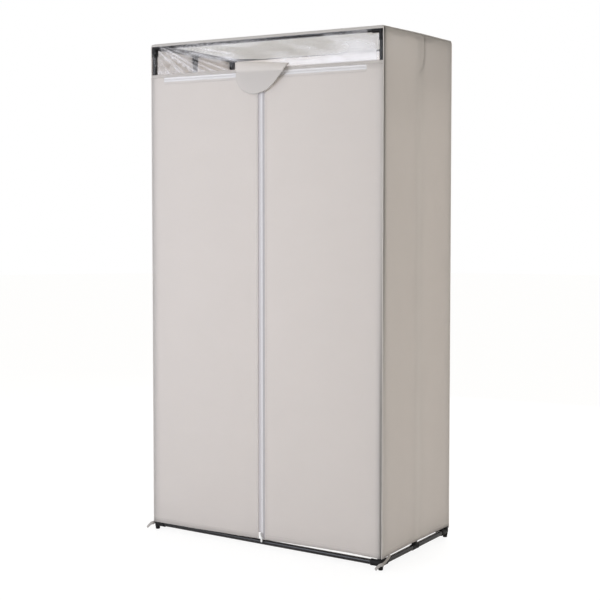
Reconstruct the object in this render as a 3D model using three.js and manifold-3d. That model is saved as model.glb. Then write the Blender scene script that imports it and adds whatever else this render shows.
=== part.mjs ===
// A portable wardrobe: a steel tube frame in moulded fittings, dressed in a sewn cloth cover.
// The cover has a clear strip along the top of the front, and two cloth doors below it that close
// with an upright zip between them and one long zip across their tops. A round dust flap hangs
// over the place where the zips meet. Sizes are in millimetres, +X to the right, +Y to the back,
// +Z up. The origin is on the floor, in the middle of the footprint.

import * as THREE from "three";
import { mergeVertices } from "three/addons/utils/BufferGeometryUtils.js";
import Module from "manifold-3d";

const wasm = await Module();
wasm.setup();

// The whole wardrobe, over its cover
const overallWidth = 870;
const overallDepth = 450;
const overallHeight = 1600;

// Steel tube
const tubeDiameter = 16;
const tubeWall = 0.8;
const postJointHeight = 800;
const swageLength = 40;
const swageClearance = 0.3;
const hangingRailDrop = 120;

// Moulded fittings: sleeves that take the tube ends
const sleeveDiameter = 20;
const socketClearance = 0.3;
const fittingReach = 32;
const fittingCore = 9;
const tubeEndGap = 0.3;
const teeHalfLength = 18;
const footHeight = 10;
const footDiameter = 16;
const footTipDiameter = 14;

// Cover
const clothThickness = 0.8;
const coverClearance = 0.4;
const seamGap = 0.3;
const hemHeight = 29.5;
const rightHemLift = 3;
const bindingDepth = 11;
const windowThickness = 0.5;
const windowDrop = 102;
const headerBandHeight = 10;
const doorHingeInset = 51;
const roofSag = 42;
const roofSagMargin = 24;
const doorBulge = 4;
const backBulge = 6;
const sideHollow = 5;
const sideHollowMargin = 26;
const creaseDepth = 3.2;
const creaseWidth = 26;
const creaseLength = 118;
const creaseCurl = 42;
const creaseStart = 17;

// Dust flap
const flapWidth = 182;
const flapDrop = 76;
const flapBendLength = 32;
const flapLength = 103;
const flapTipWidth = 44;
const flapThickness = 1.6;
const flapStandoff = 18;
const flapTuckIn = 5;

// Zips: one half is a tape with half of the coil along its edge
const coilGap = 0.6;
const coilReach = 3.4;
const coilDepth = 2.4;
const tapeReach = 16;
const tapeThickness = 0.5;
const centreZipOpening = 12;
const centreZipOffset = 5;
const topZipDrop = 119;
const topZipOpening = 7;
const topZipEndInset = 56;
const topZipDoorEndGap = 10;
const topZipNotch = 38;
const centreZipTopGap = 12;

// Zip sliders and their pulls
const sliderWidth = 10.4;
const sliderLength = 12;
const sliderDepth = 6.4;
const sliderChannelDepth = 3.2;
const sliderSlot = 1.2;
const sliderFlange = 1;
const sliderBlade = 0.6;
const bridgeWidth = 2;
const bridgeLength = 8.4;
const bridgeHeight = 3.6;
const bridgeBar = 1;
const bridgeLeg = 1.2;
const pullWidth = 7;
const pullLength = 24;
const pullThickness = 1.2;
const pullEyeWidth = 3.2;
const pullEyeLength = 5.4;
const centreSliderHeight = 46;
const topSliderOffset = 9;

// Tie tapes at the two front corners
const tieWidth = 9;
const tieThickness = 0.9;
const tieKnotDiameter = 11;
const tieTailReach = 18;
const tieTailForward = 9;
const tieTailDrop = 13;
const tieBackReach = 34;
const tieBackRise = 9;

// How finely the shapes are cut, in counts
const roundSides = 12;
const sphereRings = 6;
const roofColumns = 16;
const roofRows = 10;
const sideColumns = 18;
const sideRows = 16;
const backColumns = 10;
const backRows = 12;
const doorColumns = 8;
const doorRows = 14;
const flapColumns = 8;
const flapRows = 12;
const tailSteps = 5;

// How far a cutting shape runs past what it cuts
const cutOverrun = 1;

// Places that follow from the sizes above
const halfWidth = overallWidth / 2;
const halfDepth = overallDepth / 2;
const tubeRadius = tubeDiameter / 2;
const sleeveRadius = sleeveDiameter / 2;
const socketRadius = tubeRadius + socketClearance;
const coverToAxis = clothThickness + coverClearance + sleeveRadius;
const postX = halfWidth - coverToAxis;
const postY = halfDepth - coverToAxis;
const topRailHeight = overallHeight - coverToAxis;
const bottomRailHeight = footHeight + sleeveRadius;
const tubeStart = fittingCore + tubeEndGap;
const hangingRailHeight = overallHeight - hangingRailDrop;
const windowBottom = overallHeight - windowDrop;
const topZipHeight = overallHeight - topZipDrop;
const flapTop = overallHeight - flapDrop;
const hingeX = halfWidth - doorHingeInset;
const frontFace = -halfDepth;
const zipPlane = frontFace + clothThickness + seamGap + tapeThickness / 2;
const doorTop = topZipHeight - topZipOpening;
const headerBottom = windowBottom - headerBandHeight;
const panelTop = overallHeight - clothThickness - seamGap;

const alongX = new THREE.Vector3(1, 0, 0);
const alongY = new THREE.Vector3(0, 1, 0);
const alongZ = new THREE.Vector3(0, 0, 1);
const quarterTurn = Math.PI / 2;

const finishes = {
  cloth: new THREE.MeshStandardMaterial({ color: 0xcfc9c4, roughness: 0.92, metalness: 0 }),
  clear: new THREE.MeshStandardMaterial({
    color: 0xe4e8ea, roughness: 0.12, metalness: 0, transparent: true, opacity: 0.3,
  }),
  tube: new THREE.MeshStandardMaterial({ color: 0x2b2a2b, roughness: 0.35, metalness: 0.4 }),
  fitting: new THREE.MeshStandardMaterial({ color: 0x161516, roughness: 0.55, metalness: 0 }),
  zip: new THREE.MeshStandardMaterial({ color: 0xe9e8ea, roughness: 0.7, metalness: 0 }),
  slider: new THREE.MeshStandardMaterial({ color: 0xf1f1f1, roughness: 0.35, metalness: 0.2 }),
  tie: new THREE.MeshStandardMaterial({ color: 0xb9b3ad, roughness: 0.9, metalness: 0 }),
};

const wardrobe = new THREE.Group();

// Adds one named piece, at a place in the wardrobe.
function add(name, geometry, finish, x = 0, y = 0, z = 0) {
  const piece = new THREE.Mesh(geometry, finishes[finish]);
  piece.name = name;
  piece.position.set(x, y, z);
  wardrobe.add(piece);
  return piece;
}

// Solid of a closed geometry, for joining and cutting.
function toSolid(geometry) {
  const bare = new THREE.BufferGeometry();
  const open = geometry.index ? geometry.toNonIndexed() : geometry;
  bare.setAttribute("position", open.getAttribute("position").clone());
  const merged = mergeVertices(bare);
  return new wasm.Manifold(
    new wasm.Mesh({
      numProp: 3,
      vertProperties: merged.attributes.position.array,
      triVerts: new Uint32Array(merged.index.array),
    }),
  );
}

function toGeometry(solid) {
  const mesh = solid.getMesh();
  const geometry = new THREE.BufferGeometry();
  geometry.setAttribute("position", new THREE.BufferAttribute(mesh.vertProperties.slice(), 3));
  geometry.setIndex(new THREE.BufferAttribute(mesh.triVerts.slice(), 1));
  return geometry;
}

function join(...geometries) {
  return toGeometry(geometries.map(toSolid).reduce((whole, piece) => whole.add(piece)));
}

function cut(geometry, ...tools) {
  return toGeometry(tools.map(toSolid).reduce((rest, tool) => rest.subtract(tool), toSolid(geometry)));
}

// Turns a geometry made along +Z so that it lies along another direction.
function turnTo(geometry, direction) {
  return geometry.applyQuaternion(new THREE.Quaternion().setFromUnitVectors(alongZ, direction));
}

function circle(radius) {
  const points = Array.from({ length: roundSides }, (_, i) => {
    const angle = (2 * Math.PI * i) / roundSides;
    return new THREE.Vector2(radius * Math.cos(angle), radius * Math.sin(angle));
  });
  return new THREE.Shape(points);
}

// Extrudes an outline in X and Y along +Z.
function prism(shape, length) {
  return new THREE.ExtrudeGeometry(shape, { depth: length, bevelEnabled: false, steps: 1 });
}

function outline(points) {
  return new THREE.Shape(points.map(([x, y]) => new THREE.Vector2(x, y)));
}

function block(width, depth, height, x, y, z) {
  return new THREE.BoxGeometry(width, depth, height).translate(x, y, z);
}

// Round bar along a direction, from one distance to another.
function bar(radius, from, to, direction) {
  return turnTo(prism(circle(radius), to - from).translate(0, 0, from), direction);
}

// Open-ended tube along a direction.
function tube(length, direction) {
  const ring = circle(tubeRadius);
  ring.holes.push(circle(tubeRadius - tubeWall));
  return turnTo(prism(ring, length), direction);
}

// Tube whose lower end is drawn down to a spigot that slides into the tube below.
function swagedTube(length) {
  const innerRadius = tubeRadius - tubeWall;
  const spigotRadius = innerRadius - swageClearance;
  const spigotInner = spigotRadius - tubeWall;
  const profile = [
    [spigotInner, -swageLength],
    [spigotRadius, -swageLength],
    [spigotRadius, 0],
    [tubeRadius, 0],
    [tubeRadius, length],
    [innerRadius, length],
    [innerRadius, tubeWall],
    [spigotInner, tubeWall],
    [spigotInner, -swageLength],
  ].map(([r, z]) => new THREE.Vector2(r, z));
  return new THREE.LatheGeometry(profile, roundSides).rotateX(quarterTurn);
}

// Fitting with a round sleeve in each direction, each bored to take a tube end.
function fitting(directions, ...extras) {
  const core = new THREE.SphereGeometry(sleeveRadius, roundSides, sphereRings).rotateX(quarterTurn);
  const sleeves = directions.map((d) => bar(sleeveRadius, 0, fittingReach, d));
  const sockets = directions.map((d) => bar(socketRadius, fittingCore, fittingReach + cutOverrun, d));
  return cut(join(core, ...sleeves, ...extras), ...sockets);
}

// Tee that slides over a tube and takes a second tube end at its side.
function tee(throughDirection, sideDirection) {
  const sleeve = bar(sleeveRadius, -teeHalfLength, teeHalfLength, throughDirection);
  const branch = bar(sleeveRadius, 0, fittingReach, sideDirection);
  const overrun = teeHalfLength + cutOverrun;
  const bore = bar(socketRadius, -overrun, overrun, throughDirection);
  const socket = bar(socketRadius, fittingCore, fittingReach + cutOverrun, sideDirection);
  return cut(join(sleeve, branch), bore, socket);
}

function foot() {
  const flare = new THREE.CylinderGeometry(
    footDiameter / 2, footTipDiameter / 2, bottomRailHeight, roundSides,
  );
  return flare.rotateX(quarterTurn).translate(0, 0, -bottomRailHeight / 2);
}

// Closed sheet between an outer and an inner surface, both given over u and v from 0 to 1.
function sheet(columns, rows, outer, inner) {
  const positions = [];
  for (const surface of [outer, inner]) {
    for (let j = 0; j <= rows; j += 1) {
      for (let i = 0; i <= columns; i += 1) {
        const p = surface(i / columns, j / rows);
        positions.push(p.x, p.y, p.z);
      }
    }
  }
  const layer = (columns + 1) * (rows + 1);
  const at = (i, j, side) => side * layer + j * (columns + 1) + i;
  const index = [];
  const quad = (a, b, c, d) => index.push(a, b, c, a, c, d);
  for (let j = 0; j < rows; j += 1) {
    for (let i = 0; i < columns; i += 1) {
      quad(at(i, j, 0), at(i + 1, j, 0), at(i + 1, j + 1, 0), at(i, j + 1, 0));
      quad(at(i, j, 1), at(i, j + 1, 1), at(i + 1, j + 1, 1), at(i + 1, j, 1));
    }
  }
  for (let i = 0; i < columns; i += 1) {
    quad(at(i, 0, 0), at(i, 0, 1), at(i + 1, 0, 1), at(i + 1, 0, 0));
    quad(at(i, rows, 0), at(i + 1, rows, 0), at(i + 1, rows, 1), at(i, rows, 1));
  }
  for (let j = 0; j < rows; j += 1) {
    quad(at(0, j, 0), at(0, j + 1, 0), at(0, j + 1, 1), at(0, j, 1));
    quad(at(columns, j, 0), at(columns, j, 1), at(columns, j + 1, 1), at(columns, j + 1, 0));
  }
  const geometry = new THREE.BufferGeometry();
  geometry.setAttribute("position", new THREE.Float32BufferAttribute(positions, 3));
  geometry.setIndex(index);
  return geometry;
}

// Flat panel between two corners on a face, standing out of the face by stand(u, v). The face's
// normal is across x up, so u runs to the right as the panel is seen from outside. The columns
// and rows lie at even shares, or where columnAt and rowAt move those shares to.
const even = (share) => share;
function panel({ corner, across, up, columns, rows, stand, columnAt = even, rowAt = even }) {
  const normal = across.clone().cross(up).normalize();
  const outer = (i, j) => {
    const u = columnAt(i);
    const v = rowAt(j);
    return corner.clone().addScaledVector(across, u).addScaledVector(up, v)
      .addScaledVector(normal, stand(u, v));
  };
  const inner = (i, j) => outer(i, j).addScaledVector(normal, -clothThickness);
  return sheet(columns, rows, outer, inner);
}

// Moves even shares so that the first and the last step are as narrow as a margin.
function withMargins(count, marginShare) {
  return (share) => {
    const step = Math.round(share * count);
    if (step === 0 || step === count) return share;
    return marginShare + ((1 - 2 * marginShare) * (step - 1)) / (count - 2);
  };
}

const vector = (x, y, z) => new THREE.Vector3(x, y, z);

// Hump that is 1 in the middle of 0 to 1, and 0 at both ends.
const hump = (share) => 4 * share * (1 - share);

// Eases from 0 to 1 as the value goes from low to high.
function ease(value, low, high) {
  const share = THREE.MathUtils.clamp((value - low) / (high - low), 0, 1);
  return share * share * (3 - 2 * share);
}

// The frame's corners: name, and which side of the middle each is on.
const corners = [
  ["front_left", -1, -1],
  ["front_right", 1, -1],
  ["rear_left", -1, 1],
  ["rear_right", 1, 1],
];
const sides = [["left", -1], ["right", 1]];

function addPost(name, x, y) {
  const lowerStart = bottomRailHeight + tubeStart;
  const upperEnd = topRailHeight - tubeStart;
  const upperStart = postJointHeight + tubeEndGap;
  add(name.lower, tube(postJointHeight - lowerStart, alongZ), "tube", x, y, lowerStart);
  add(name.upper, swagedTube(upperEnd - upperStart), "tube", x, y, upperStart);
}

function addCorners() {
  for (const [corner, right, back] of corners) {
    const x = right * postX;
    const y = back * postY;
    const inX = vector(-right, 0, 0);
    const inY = vector(0, -back, 0);
    add(`bottom_corner_${corner}`, fitting([inX, inY, alongZ], foot()), "fitting", x, y, bottomRailHeight);
    add(`top_corner_${corner}`, fitting([inX, inY, vector(0, 0, -1)]), "fitting", x, y, topRailHeight);
    addPost({ lower: `post_lower_${corner}`, upper: `post_upper_${corner}` }, x, y);
  }
}

function addRails() {
  const levels = [["bottom", bottomRailHeight], ["top", topRailHeight]];
  const longEnd = postX - tubeStart;
  const shortEnd = postY - tubeStart;
  for (const [level, z] of levels) {
    add(`${level}_rail_front`, tube(2 * longEnd, alongX), "tube", -longEnd, -postY, z);
    add(`${level}_rail_rear`, tube(2 * longEnd, alongX), "tube", -longEnd, postY, z);
    for (const [side, right] of sides) {
      add(`${level}_rail_${side}`, tube(2 * shortEnd, alongY), "tube", right * postX, -shortEnd, z);
    }
  }
}

// Posts half way along the sides carry the rail that the clothes hang from.
function addHangingRail() {
  for (const [side, right] of sides) {
    const x = right * postX;
    add(`bottom_tee_${side}`, tee(alongY, alongZ), "fitting", x, 0, bottomRailHeight);
    add(`top_tee_${side}`, tee(alongY, vector(0, 0, -1)), "fitting", x, 0, topRailHeight);
    add(`hanging_tee_${side}`, tee(alongZ, vector(-right, 0, 0)), "fitting", x, 0, hangingRailHeight);
    addPost({ lower: `mid_post_lower_${side}`, upper: `mid_post_upper_${side}` }, x, 0);
  }
  const railEnd = postX - tubeStart;
  add("hanging_rail", tube(2 * railEnd, alongX), "tube", -railEnd, 0, hangingRailHeight);
}

// Roof: hangs between the top rails, and its front edge is turned down as a binding.
function addRoof() {
  const sagEndX = halfWidth - roofSagMargin;
  const sagEndY = halfDepth - roofSagMargin;
  const slack = (distance, end, power) => Math.max(0, 1 - Math.abs(distance / end) ** power);
  const sag = (u, v) => {
    const x = (2 * u - 1) * halfWidth;
    const y = (2 * v - 1) * halfDepth;
    return -roofSag * slack(x, sagEndX, 4) * slack(y, sagEndY, 2);
  };
  const top = panel({
    corner: vector(-halfWidth, -halfDepth, overallHeight),
    across: vector(overallWidth, 0, 0),
    up: vector(0, overallDepth, 0),
    columns: roofColumns,
    rows: roofRows,
    stand: sag,
    columnAt: withMargins(roofColumns, roofSagMargin / overallWidth),
    rowAt: withMargins(roofRows, roofSagMargin / overallDepth),
  });
  const lipHeight = bindingDepth - clothThickness / 2;
  const lip = block(
    overallWidth, clothThickness, lipHeight,
    0, frontFace + clothThickness / 2, overallHeight - bindingDepth + lipHeight / 2,
  );
  add("roof_panel", join(top, lip), "cloth");
}

// Side panel: drawn in a little between the posts. The right one has the crease that the
// photograph shows under its top edge, which drops from the middle and curls to the front.
function addSides() {
  const length = overallDepth - 2 * (clothThickness + seamGap);
  const postHalf = postY - tubeRadius;
  const hollow = (y, z) => {
    const nearTop = ease(topRailHeight - z, tubeRadius, tubeRadius + sideHollowMargin);
    const nearHem = ease(z - bottomRailHeight, tubeRadius, tubeRadius + sideHollowMargin);
    const between = Math.sin((Math.PI * Math.min(Math.abs(y), postHalf)) / postHalf) ** 2;
    return -sideHollow * between * nearTop * nearHem;
  };
  const crease = (y, z) => {
    const drop = (overallHeight - z) / creaseLength;
    const line = creaseStart - creaseCurl * ease(drop, 0, 1) * drop;
    const across = Math.abs(y - line) / (creaseWidth / 2);
    const along = Math.sin(Math.PI * THREE.MathUtils.clamp(drop, 0, 1));
    return creaseDepth * Math.max(0, 1 - across) * along;
  };
  for (const [side, right] of sides) {
    const bottom = hemHeight + (right > 0 ? rightHemLift : 0);
    const height = panelTop - bottom;
    const stand = (u, v) => {
      const y = right * (u - 1 / 2) * length;
      const z = bottom + v * height;
      return hollow(y, z) + (right > 0 ? crease(y, z) : 0);
    };
    const geometry = panel({
      corner: vector(right * halfWidth, (-right * length) / 2, bottom),
      across: vector(0, right * length, 0),
      up: vector(0, 0, height),
      columns: sideColumns,
      rows: sideRows,
      stand,
      rowAt: (share) => 1 - (1 - share) ** 2,
    });
    add(`side_panel_${side}`, geometry, "cloth");
  }
}

function addBack() {
  const geometry = panel({
    corner: vector(halfWidth, halfDepth, hemHeight),
    across: vector(-overallWidth, 0, 0),
    up: vector(0, 0, panelTop - hemHeight),
    columns: backColumns,
    rows: backRows,
    stand: (u, v) => backBulge * hump(u) * hump(v),
  });
  add("back_panel", geometry, "cloth");
}

// Flat cloth strip on the front face, from one x and z to another.
function frontStrip(left, right, bottom, top, thickness) {
  return block(
    right - left, thickness, top - bottom,
    (left + right) / 2, frontFace + thickness / 2, (bottom + top) / 2,
  );
}

function addFrontFrame() {
  const windowTop = overallHeight - bindingDepth - seamGap;
  const window = frontStrip(
    -halfWidth, halfWidth, windowBottom + seamGap, windowTop, windowThickness,
  );
  add("front_window", window, "clear");
  const header = frontStrip(-halfWidth, halfWidth, headerBottom, windowBottom, clothThickness);
  add("header_band", header, "cloth");
  const stileTop = headerBottom - seamGap;
  add("stile_left", frontStrip(-halfWidth, -hingeX, hemHeight, stileTop, clothThickness), "cloth");
  const rightHem = hemHeight + rightHemLift;
  add("stile_right", frontStrip(hingeX, halfWidth, rightHem, stileTop, clothThickness), "cloth");
}

// Door: a cloth panel that folds out round its outer edge.
function addDoors() {
  for (const [side, right] of sides) {
    const outerEdge = right * (hingeX - seamGap);
    const innerEdge = centreZipOffset + right * centreZipOpening;
    const width = Math.abs(outerEdge - innerEdge);
    const left = Math.min(outerEdge, innerEdge);
    const bottom = hemHeight + (right > 0 ? rightHemLift : 0);
    const geometry = panel({
      corner: vector(left, frontFace, bottom),
      across: vector(width, 0, 0),
      up: vector(0, 0, doorTop - bottom),
      columns: doorColumns,
      rows: doorRows,
      stand: (u, v) => doorBulge * hump(u) * hump(v),
    });
    add(`door_${side}`, geometry, "cloth");
  }
}

// Dust flap: sewn along its top edge, it leans out over the sliders and hangs as a round tongue.
function addDustFlap() {
  const standAt = (fallen) => {
    const lean = Math.sin(quarterTurn * Math.min(1, fallen / flapBendLength));
    return flapStandoff * lean - flapTuckIn * ease(fallen, flapBendLength, flapLength);
  };
  const halfAt = (fallen) => {
    const below = Math.max(0, fallen - flapBendLength) / (flapLength - flapBendLength);
    return Math.max(flapTipWidth / 2, (flapWidth / 2) * Math.sqrt(Math.max(0, 1 - below * below)));
  };
  const seat = frontFace - seamGap;
  const outer = (u, v) => {
    const fallen = v * flapLength;
    const x = (2 * u - 1) * halfAt(fallen);
    return vector(x, seat - flapThickness + seamGap - standAt(fallen), flapTop - fallen);
  };
  const inner = (u, v) => outer(u, v).add(vector(0, flapThickness - seamGap, 0));
  add("dust_flap", sheet(flapColumns, flapRows, inner, outer), "cloth");
}

// Half a zip along +Z: its half of the coil, then its tape, on one side of the zip's line.
function zipHalf(side, length) {
  const coil = coilDepth / 2;
  const tape = tapeThickness / 2;
  const points = [
    [coilGap, -coil],
    [coilReach, -coil],
    [coilReach, -tape],
    [tapeReach, -tape],
    [tapeReach, tape],
    [coilReach, tape],
    [coilReach, coil],
    [coilGap, coil],
  ];
  return prism(outline(points.map(([x, y]) => [side * x, y])), length);
}

function addZips() {
  const centreTop = doorTop - centreZipTopGap;
  const sliderTop = centreSliderHeight + sliderLength / 2 + seamGap;
  const leftStart = sliderTop;
  const rightStart = hemHeight + rightHemLift;
  const x = centreZipOffset;
  add("centre_zip_left", zipHalf(-1, centreTop - leftStart), "zip", x, zipPlane, leftStart);
  add("centre_zip_right", zipHalf(1, centreTop - rightStart), "zip", x, zipPlane, rightStart);

  const zipEnd = halfWidth - topZipEndInset;
  const upper = zipHalf(-1, 2 * zipEnd).rotateY(quarterTurn);
  add("top_zip_upper", upper, "zip", -zipEnd, zipPlane, topZipHeight);
  const lowerEnd = hingeX - topZipDoorEndGap;
  for (const [side, right] of sides) {
    const lower = zipHalf(1, lowerEnd - topZipNotch).rotateY(quarterTurn);
    const start = right < 0 ? -lowerEnd : topZipNotch;
    add(`top_zip_lower_${side}`, lower, "zip", start, zipPlane, topZipHeight);
  }
}

// Zip slider along +Z: two plates on a thin blade, with flanges round the coils and a slot for
// each tape, and a bridge on the front plate that holds the pull.
function slider() {
  const half = sliderWidth / 2;
  const plate = sliderDepth / 2;
  const channel = sliderChannelDepth / 2;
  const slot = sliderSlot / 2;
  const flange = half - sliderFlange;
  const blade = sliderBlade / 2;
  const right = [
    [half, -plate],
    [half, -slot],
    [flange, -slot],
    [flange, -channel],
    [blade, -channel],
    [blade, channel],
    [flange, channel],
    [flange, slot],
    [half, slot],
    [half, plate],
  ];
  const left = right.map(([x, y]) => [-x, y]).reverse();
  const body = prism(outline([...right, ...left]), sliderLength).translate(0, 0, -sliderLength / 2);
  const foundation = (plate - channel) / 2;
  const arch = block(
    bridgeWidth, bridgeHeight + foundation, bridgeLength,
    0, -plate - (bridgeHeight - foundation) / 2, 0,
  );
  const gapHeight = bridgeHeight - bridgeBar;
  const gap = block(
    bridgeWidth + cutOverrun, gapHeight, bridgeLength - 2 * bridgeLeg,
    0, -plate - gapHeight / 2, 0,
  );
  return join(body, cut(arch, gap));
}

// Pull along -Z: its eye's top bar passes under the slider's bridge, on the axis it turns on.
function pull() {
  const eyeBar = pullThickness / 2;
  const tab = block(
    pullWidth, pullThickness, pullLength + eyeBar,
    0, 0, (eyeBar - pullLength) / 2,
  );
  const eye = block(
    pullEyeWidth, pullThickness + cutOverrun, pullEyeLength,
    0, 0, -eyeBar - pullEyeLength / 2,
  );
  return cut(tab, eye);
}

function addSliders() {
  const pullAxis = zipPlane - sliderDepth / 2 - (bridgeHeight - bridgeBar) / 2;
  const places = [
    ["centre_zip", 0, centreZipOffset, centreSliderHeight],
    ["top_zip_left", quarterTurn, -topSliderOffset, topZipHeight],
    ["top_zip_right", -quarterTurn, topSliderOffset, topZipHeight],
  ];
  for (const [name, turn, x, z] of places) {
    add(`${name}_slider`, slider().rotateY(turn), "slider", x, zipPlane, z);
    add(`${name}_pull`, pull().rotateY(turn), "slider", x, pullAxis, z);
  }
}

// Tie tape: knotted outside the corner fitting. One tail hangs to the left and forwards, and the
// other is drawn back along the side.
function addTies() {
  const knotRadius = tieKnotDiameter / 2;
  const away = (sleeveRadius + seamGap + knotRadius) * Math.SQRT1_2;
  const tail = (points) => {
    const section = outline([
      [-tieThickness / 2, -tieWidth / 2],
      [tieThickness / 2, -tieWidth / 2],
      [tieThickness / 2, tieWidth / 2],
      [-tieThickness / 2, tieWidth / 2],
    ]);
    const path = new THREE.CatmullRomCurve3(points);
    return new THREE.ExtrudeGeometry(section, { steps: tailSteps, bevelEnabled: false, extrudePath: path });
  };
  for (const [side, right] of sides) {
    const knot = new THREE.SphereGeometry(knotRadius, roundSides, sphereRings);
    const front = tail([
      vector(0, 0, 0),
      vector(-tieTailReach / 2, -tieTailForward / 2, -tieTailDrop / 3),
      vector(-tieTailReach, -tieTailForward, -tieTailDrop),
    ]);
    const back = tail([
      vector(0, 0, 0),
      vector((right * knotRadius) / 2, tieBackReach / 2, tieBackRise / 3),
      vector((right * knotRadius) / 2, tieBackReach, tieBackRise),
    ]);
    const x = right * (postX + away);
    add(`tie_tape_${side}`, join(knot, front, back), "tie", x, -postY - away, bottomRailHeight);
  }
}

addCorners();
addRails();
addHangingRail();
addRoof();
addSides();
addBack();
addFrontFrame();
addDoors();
addDustFlap();
addZips();
addSliders();
addTies();

export default wardrobe;
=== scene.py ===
"""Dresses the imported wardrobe: sewn cloth cover, clear strip, zips, tubes, fittings and tie tapes.

Sizes are in metres, +X to the right, +Y to the back, +Z up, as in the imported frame. The cover is
drawn on five faces with rounded edges between them. A place on a face is s metres of cloth to the
right of its middle and t metres up, as it is seen from outside.
"""

import math

import bmesh
import bpy
from bpy.props import FloatProperty, FloatVectorProperty, IntProperty, PointerProperty
from mathutils import Matrix, Vector, noise


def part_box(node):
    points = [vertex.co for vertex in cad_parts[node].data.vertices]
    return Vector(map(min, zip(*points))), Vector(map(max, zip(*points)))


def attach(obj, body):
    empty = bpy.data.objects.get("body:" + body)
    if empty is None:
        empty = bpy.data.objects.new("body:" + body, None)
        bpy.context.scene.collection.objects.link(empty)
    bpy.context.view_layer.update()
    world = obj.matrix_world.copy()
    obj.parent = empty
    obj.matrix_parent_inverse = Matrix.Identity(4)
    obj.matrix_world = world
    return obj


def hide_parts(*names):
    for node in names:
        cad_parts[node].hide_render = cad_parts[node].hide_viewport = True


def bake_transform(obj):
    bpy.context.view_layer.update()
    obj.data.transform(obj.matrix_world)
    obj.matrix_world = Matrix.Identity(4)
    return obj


bl_info = {
    "name": "Fabric wardrobe",
    "version": (1, 0, 0),
    "blender": (4, 5, 0),
    "location": "View3D > Sidebar > Wardrobe",
    "description": "Builds a fabric wardrobe's visible pieces round its packed frame",
    "category": "Object",
}

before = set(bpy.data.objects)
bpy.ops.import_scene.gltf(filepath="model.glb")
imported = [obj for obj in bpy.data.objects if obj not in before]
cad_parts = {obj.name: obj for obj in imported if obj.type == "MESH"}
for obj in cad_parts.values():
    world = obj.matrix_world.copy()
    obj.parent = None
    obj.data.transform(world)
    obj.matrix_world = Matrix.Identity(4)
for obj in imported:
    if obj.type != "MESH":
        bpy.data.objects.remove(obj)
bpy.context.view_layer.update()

MM = 0.001
QUARTER = math.pi / 2
EIGHTH = math.pi / 4


def middle(node):
    """Middle of a CAD node's box."""
    low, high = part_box(node)
    return (low + high) / 2


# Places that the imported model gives
POST = middle("post_lower_front_right")
POST_X, POST_Y = POST.x, -POST.y
RAIL_TOP = middle("top_rail_front").z
RAIL_LOW = middle("bottom_rail_front").z
HALF_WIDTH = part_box("header_band")[1].x
HALF_DEPTH = -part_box("header_band")[0].y
FRONT = -HALF_DEPTH
CORNER = HALF_WIDTH - POST_X
TUBE_RADIUS = (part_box("top_rail_front")[1].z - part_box("top_rail_front")[0].z) / 2
SLEEVE_RADIUS = CORNER - 1.2 * MM
HEM_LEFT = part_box("stile_left")[0].z
HEM_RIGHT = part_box("stile_right")[0].z
DOOR_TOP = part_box("door_left")[1].z
BAND_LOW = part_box("header_band")[0].z
BAND_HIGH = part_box("header_band")[1].z
STILE_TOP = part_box("stile_left")[1].z
FILM_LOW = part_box("front_window")[0].z
FILM_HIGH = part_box("front_window")[1].z
ZIP_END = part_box("top_zip_upper")[1].x
ZIP_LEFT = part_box("door_left")[1].x
ZIP_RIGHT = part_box("door_right")[0].x
ZIP_X = (ZIP_LEFT + ZIP_RIGHT) / 2
ZIP_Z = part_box("top_zip_upper")[0].z - 0.6 * MM
ZIP_Y = middle("top_zip_upper").y
HINGE = -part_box("stile_left")[1].x

# Cloth that goes round an edge to the seam, which lies half way round it
TURN = CORNER * EIGHTH
SEAM_X = POST_X + TURN
SEAM_Y = POST_Y + TURN
SEAM_TOP = RAIL_TOP + TURN
BINDING_LOW = FILM_HIGH + MM
FILM_TOP = BINDING_LOW + 2 * MM

# Where the front cloth would start to follow its door; its grid lines come close there
FOLD_END = ZIP_END - 32 * MM

# Sewing: how far each row of stitches lies from the edge it holds, and a fold's width at a zip
HEM_STITCH = 2.5 * MM
BAND_STITCH = 2 * MM
ZIP_STITCH = 6.5 * MM
ZIP_FOLD = 9 * MM

# Length, width and height of a stitch, and thicknesses of what isn't plain cover cloth
STITCH = (2.6 * MM, 1.0 * MM, 0.6 * MM)
BINDING_THICKNESS = 1.2 * MM
FILM_THICKNESS = 0.5 * MM
FLAP_THICKNESS = 1.0 * MM

# Distance between mesh lines at a seam, and distances within which points are merged
FINE = 2 * MM
MERGE = 1e-6
MERGE_CLOSE = 1e-7


# Sizes and colours that a user would change


def length(name, description, usual, least, most):
    """A length that a user may change, from sizes in mm."""
    return FloatProperty(
        name=name, description=description, default=usual * MM, min=least * MM, max=most * MM,
        unit="LENGTH",
    )


def colour(name, description, red, green, blue):
    """A colour that a user may change."""
    return FloatVectorProperty(
        name=name, description=description, default=(red, green, blue), min=0, max=1,
        subtype="COLOR",
    )


class WardrobeCover(bpy.types.PropertyGroup):
    """The sewn cover."""

    cloth_thickness: length(
        "Cloth thickness", "Thickness of the non-woven cloth", 0.8, 0.2, 3)
    mesh_step: length(
        "Mesh step", "Distance between the cloth's mesh lines", 8, 3, 40)
    hem_depth: length(
        "Hem depth", "Height of the doubled cloth along the hem", 16, 5, 40)
    door_bulge: length(
        "Door bulge", "How far the middle of a door stands out", 4, 0, 20)
    side_hollow: length(
        "Side hollow", "How far a side is drawn in between its posts", 2.2, 0, 12)
    back_bulge: length(
        "Back bulge", "How far the middle of the back stands out", 6, 0, 20)
    roof_sag: length(
        "Roof sag", "How far the roof hangs down in the middle", 39.5, 0, 80)
    fold_height: length(
        "Fold height", "Height of the broad soft folds in the walls", 1.5, 0, 6)
    wrinkle_height: length(
        "Wrinkle height", "Height of the small wrinkles in the walls", 0.35, 0, 2)
    stitch_pitch: length(
        "Stitch pitch", "Distance from one stitch to the next", 4, 2, 10)


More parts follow.
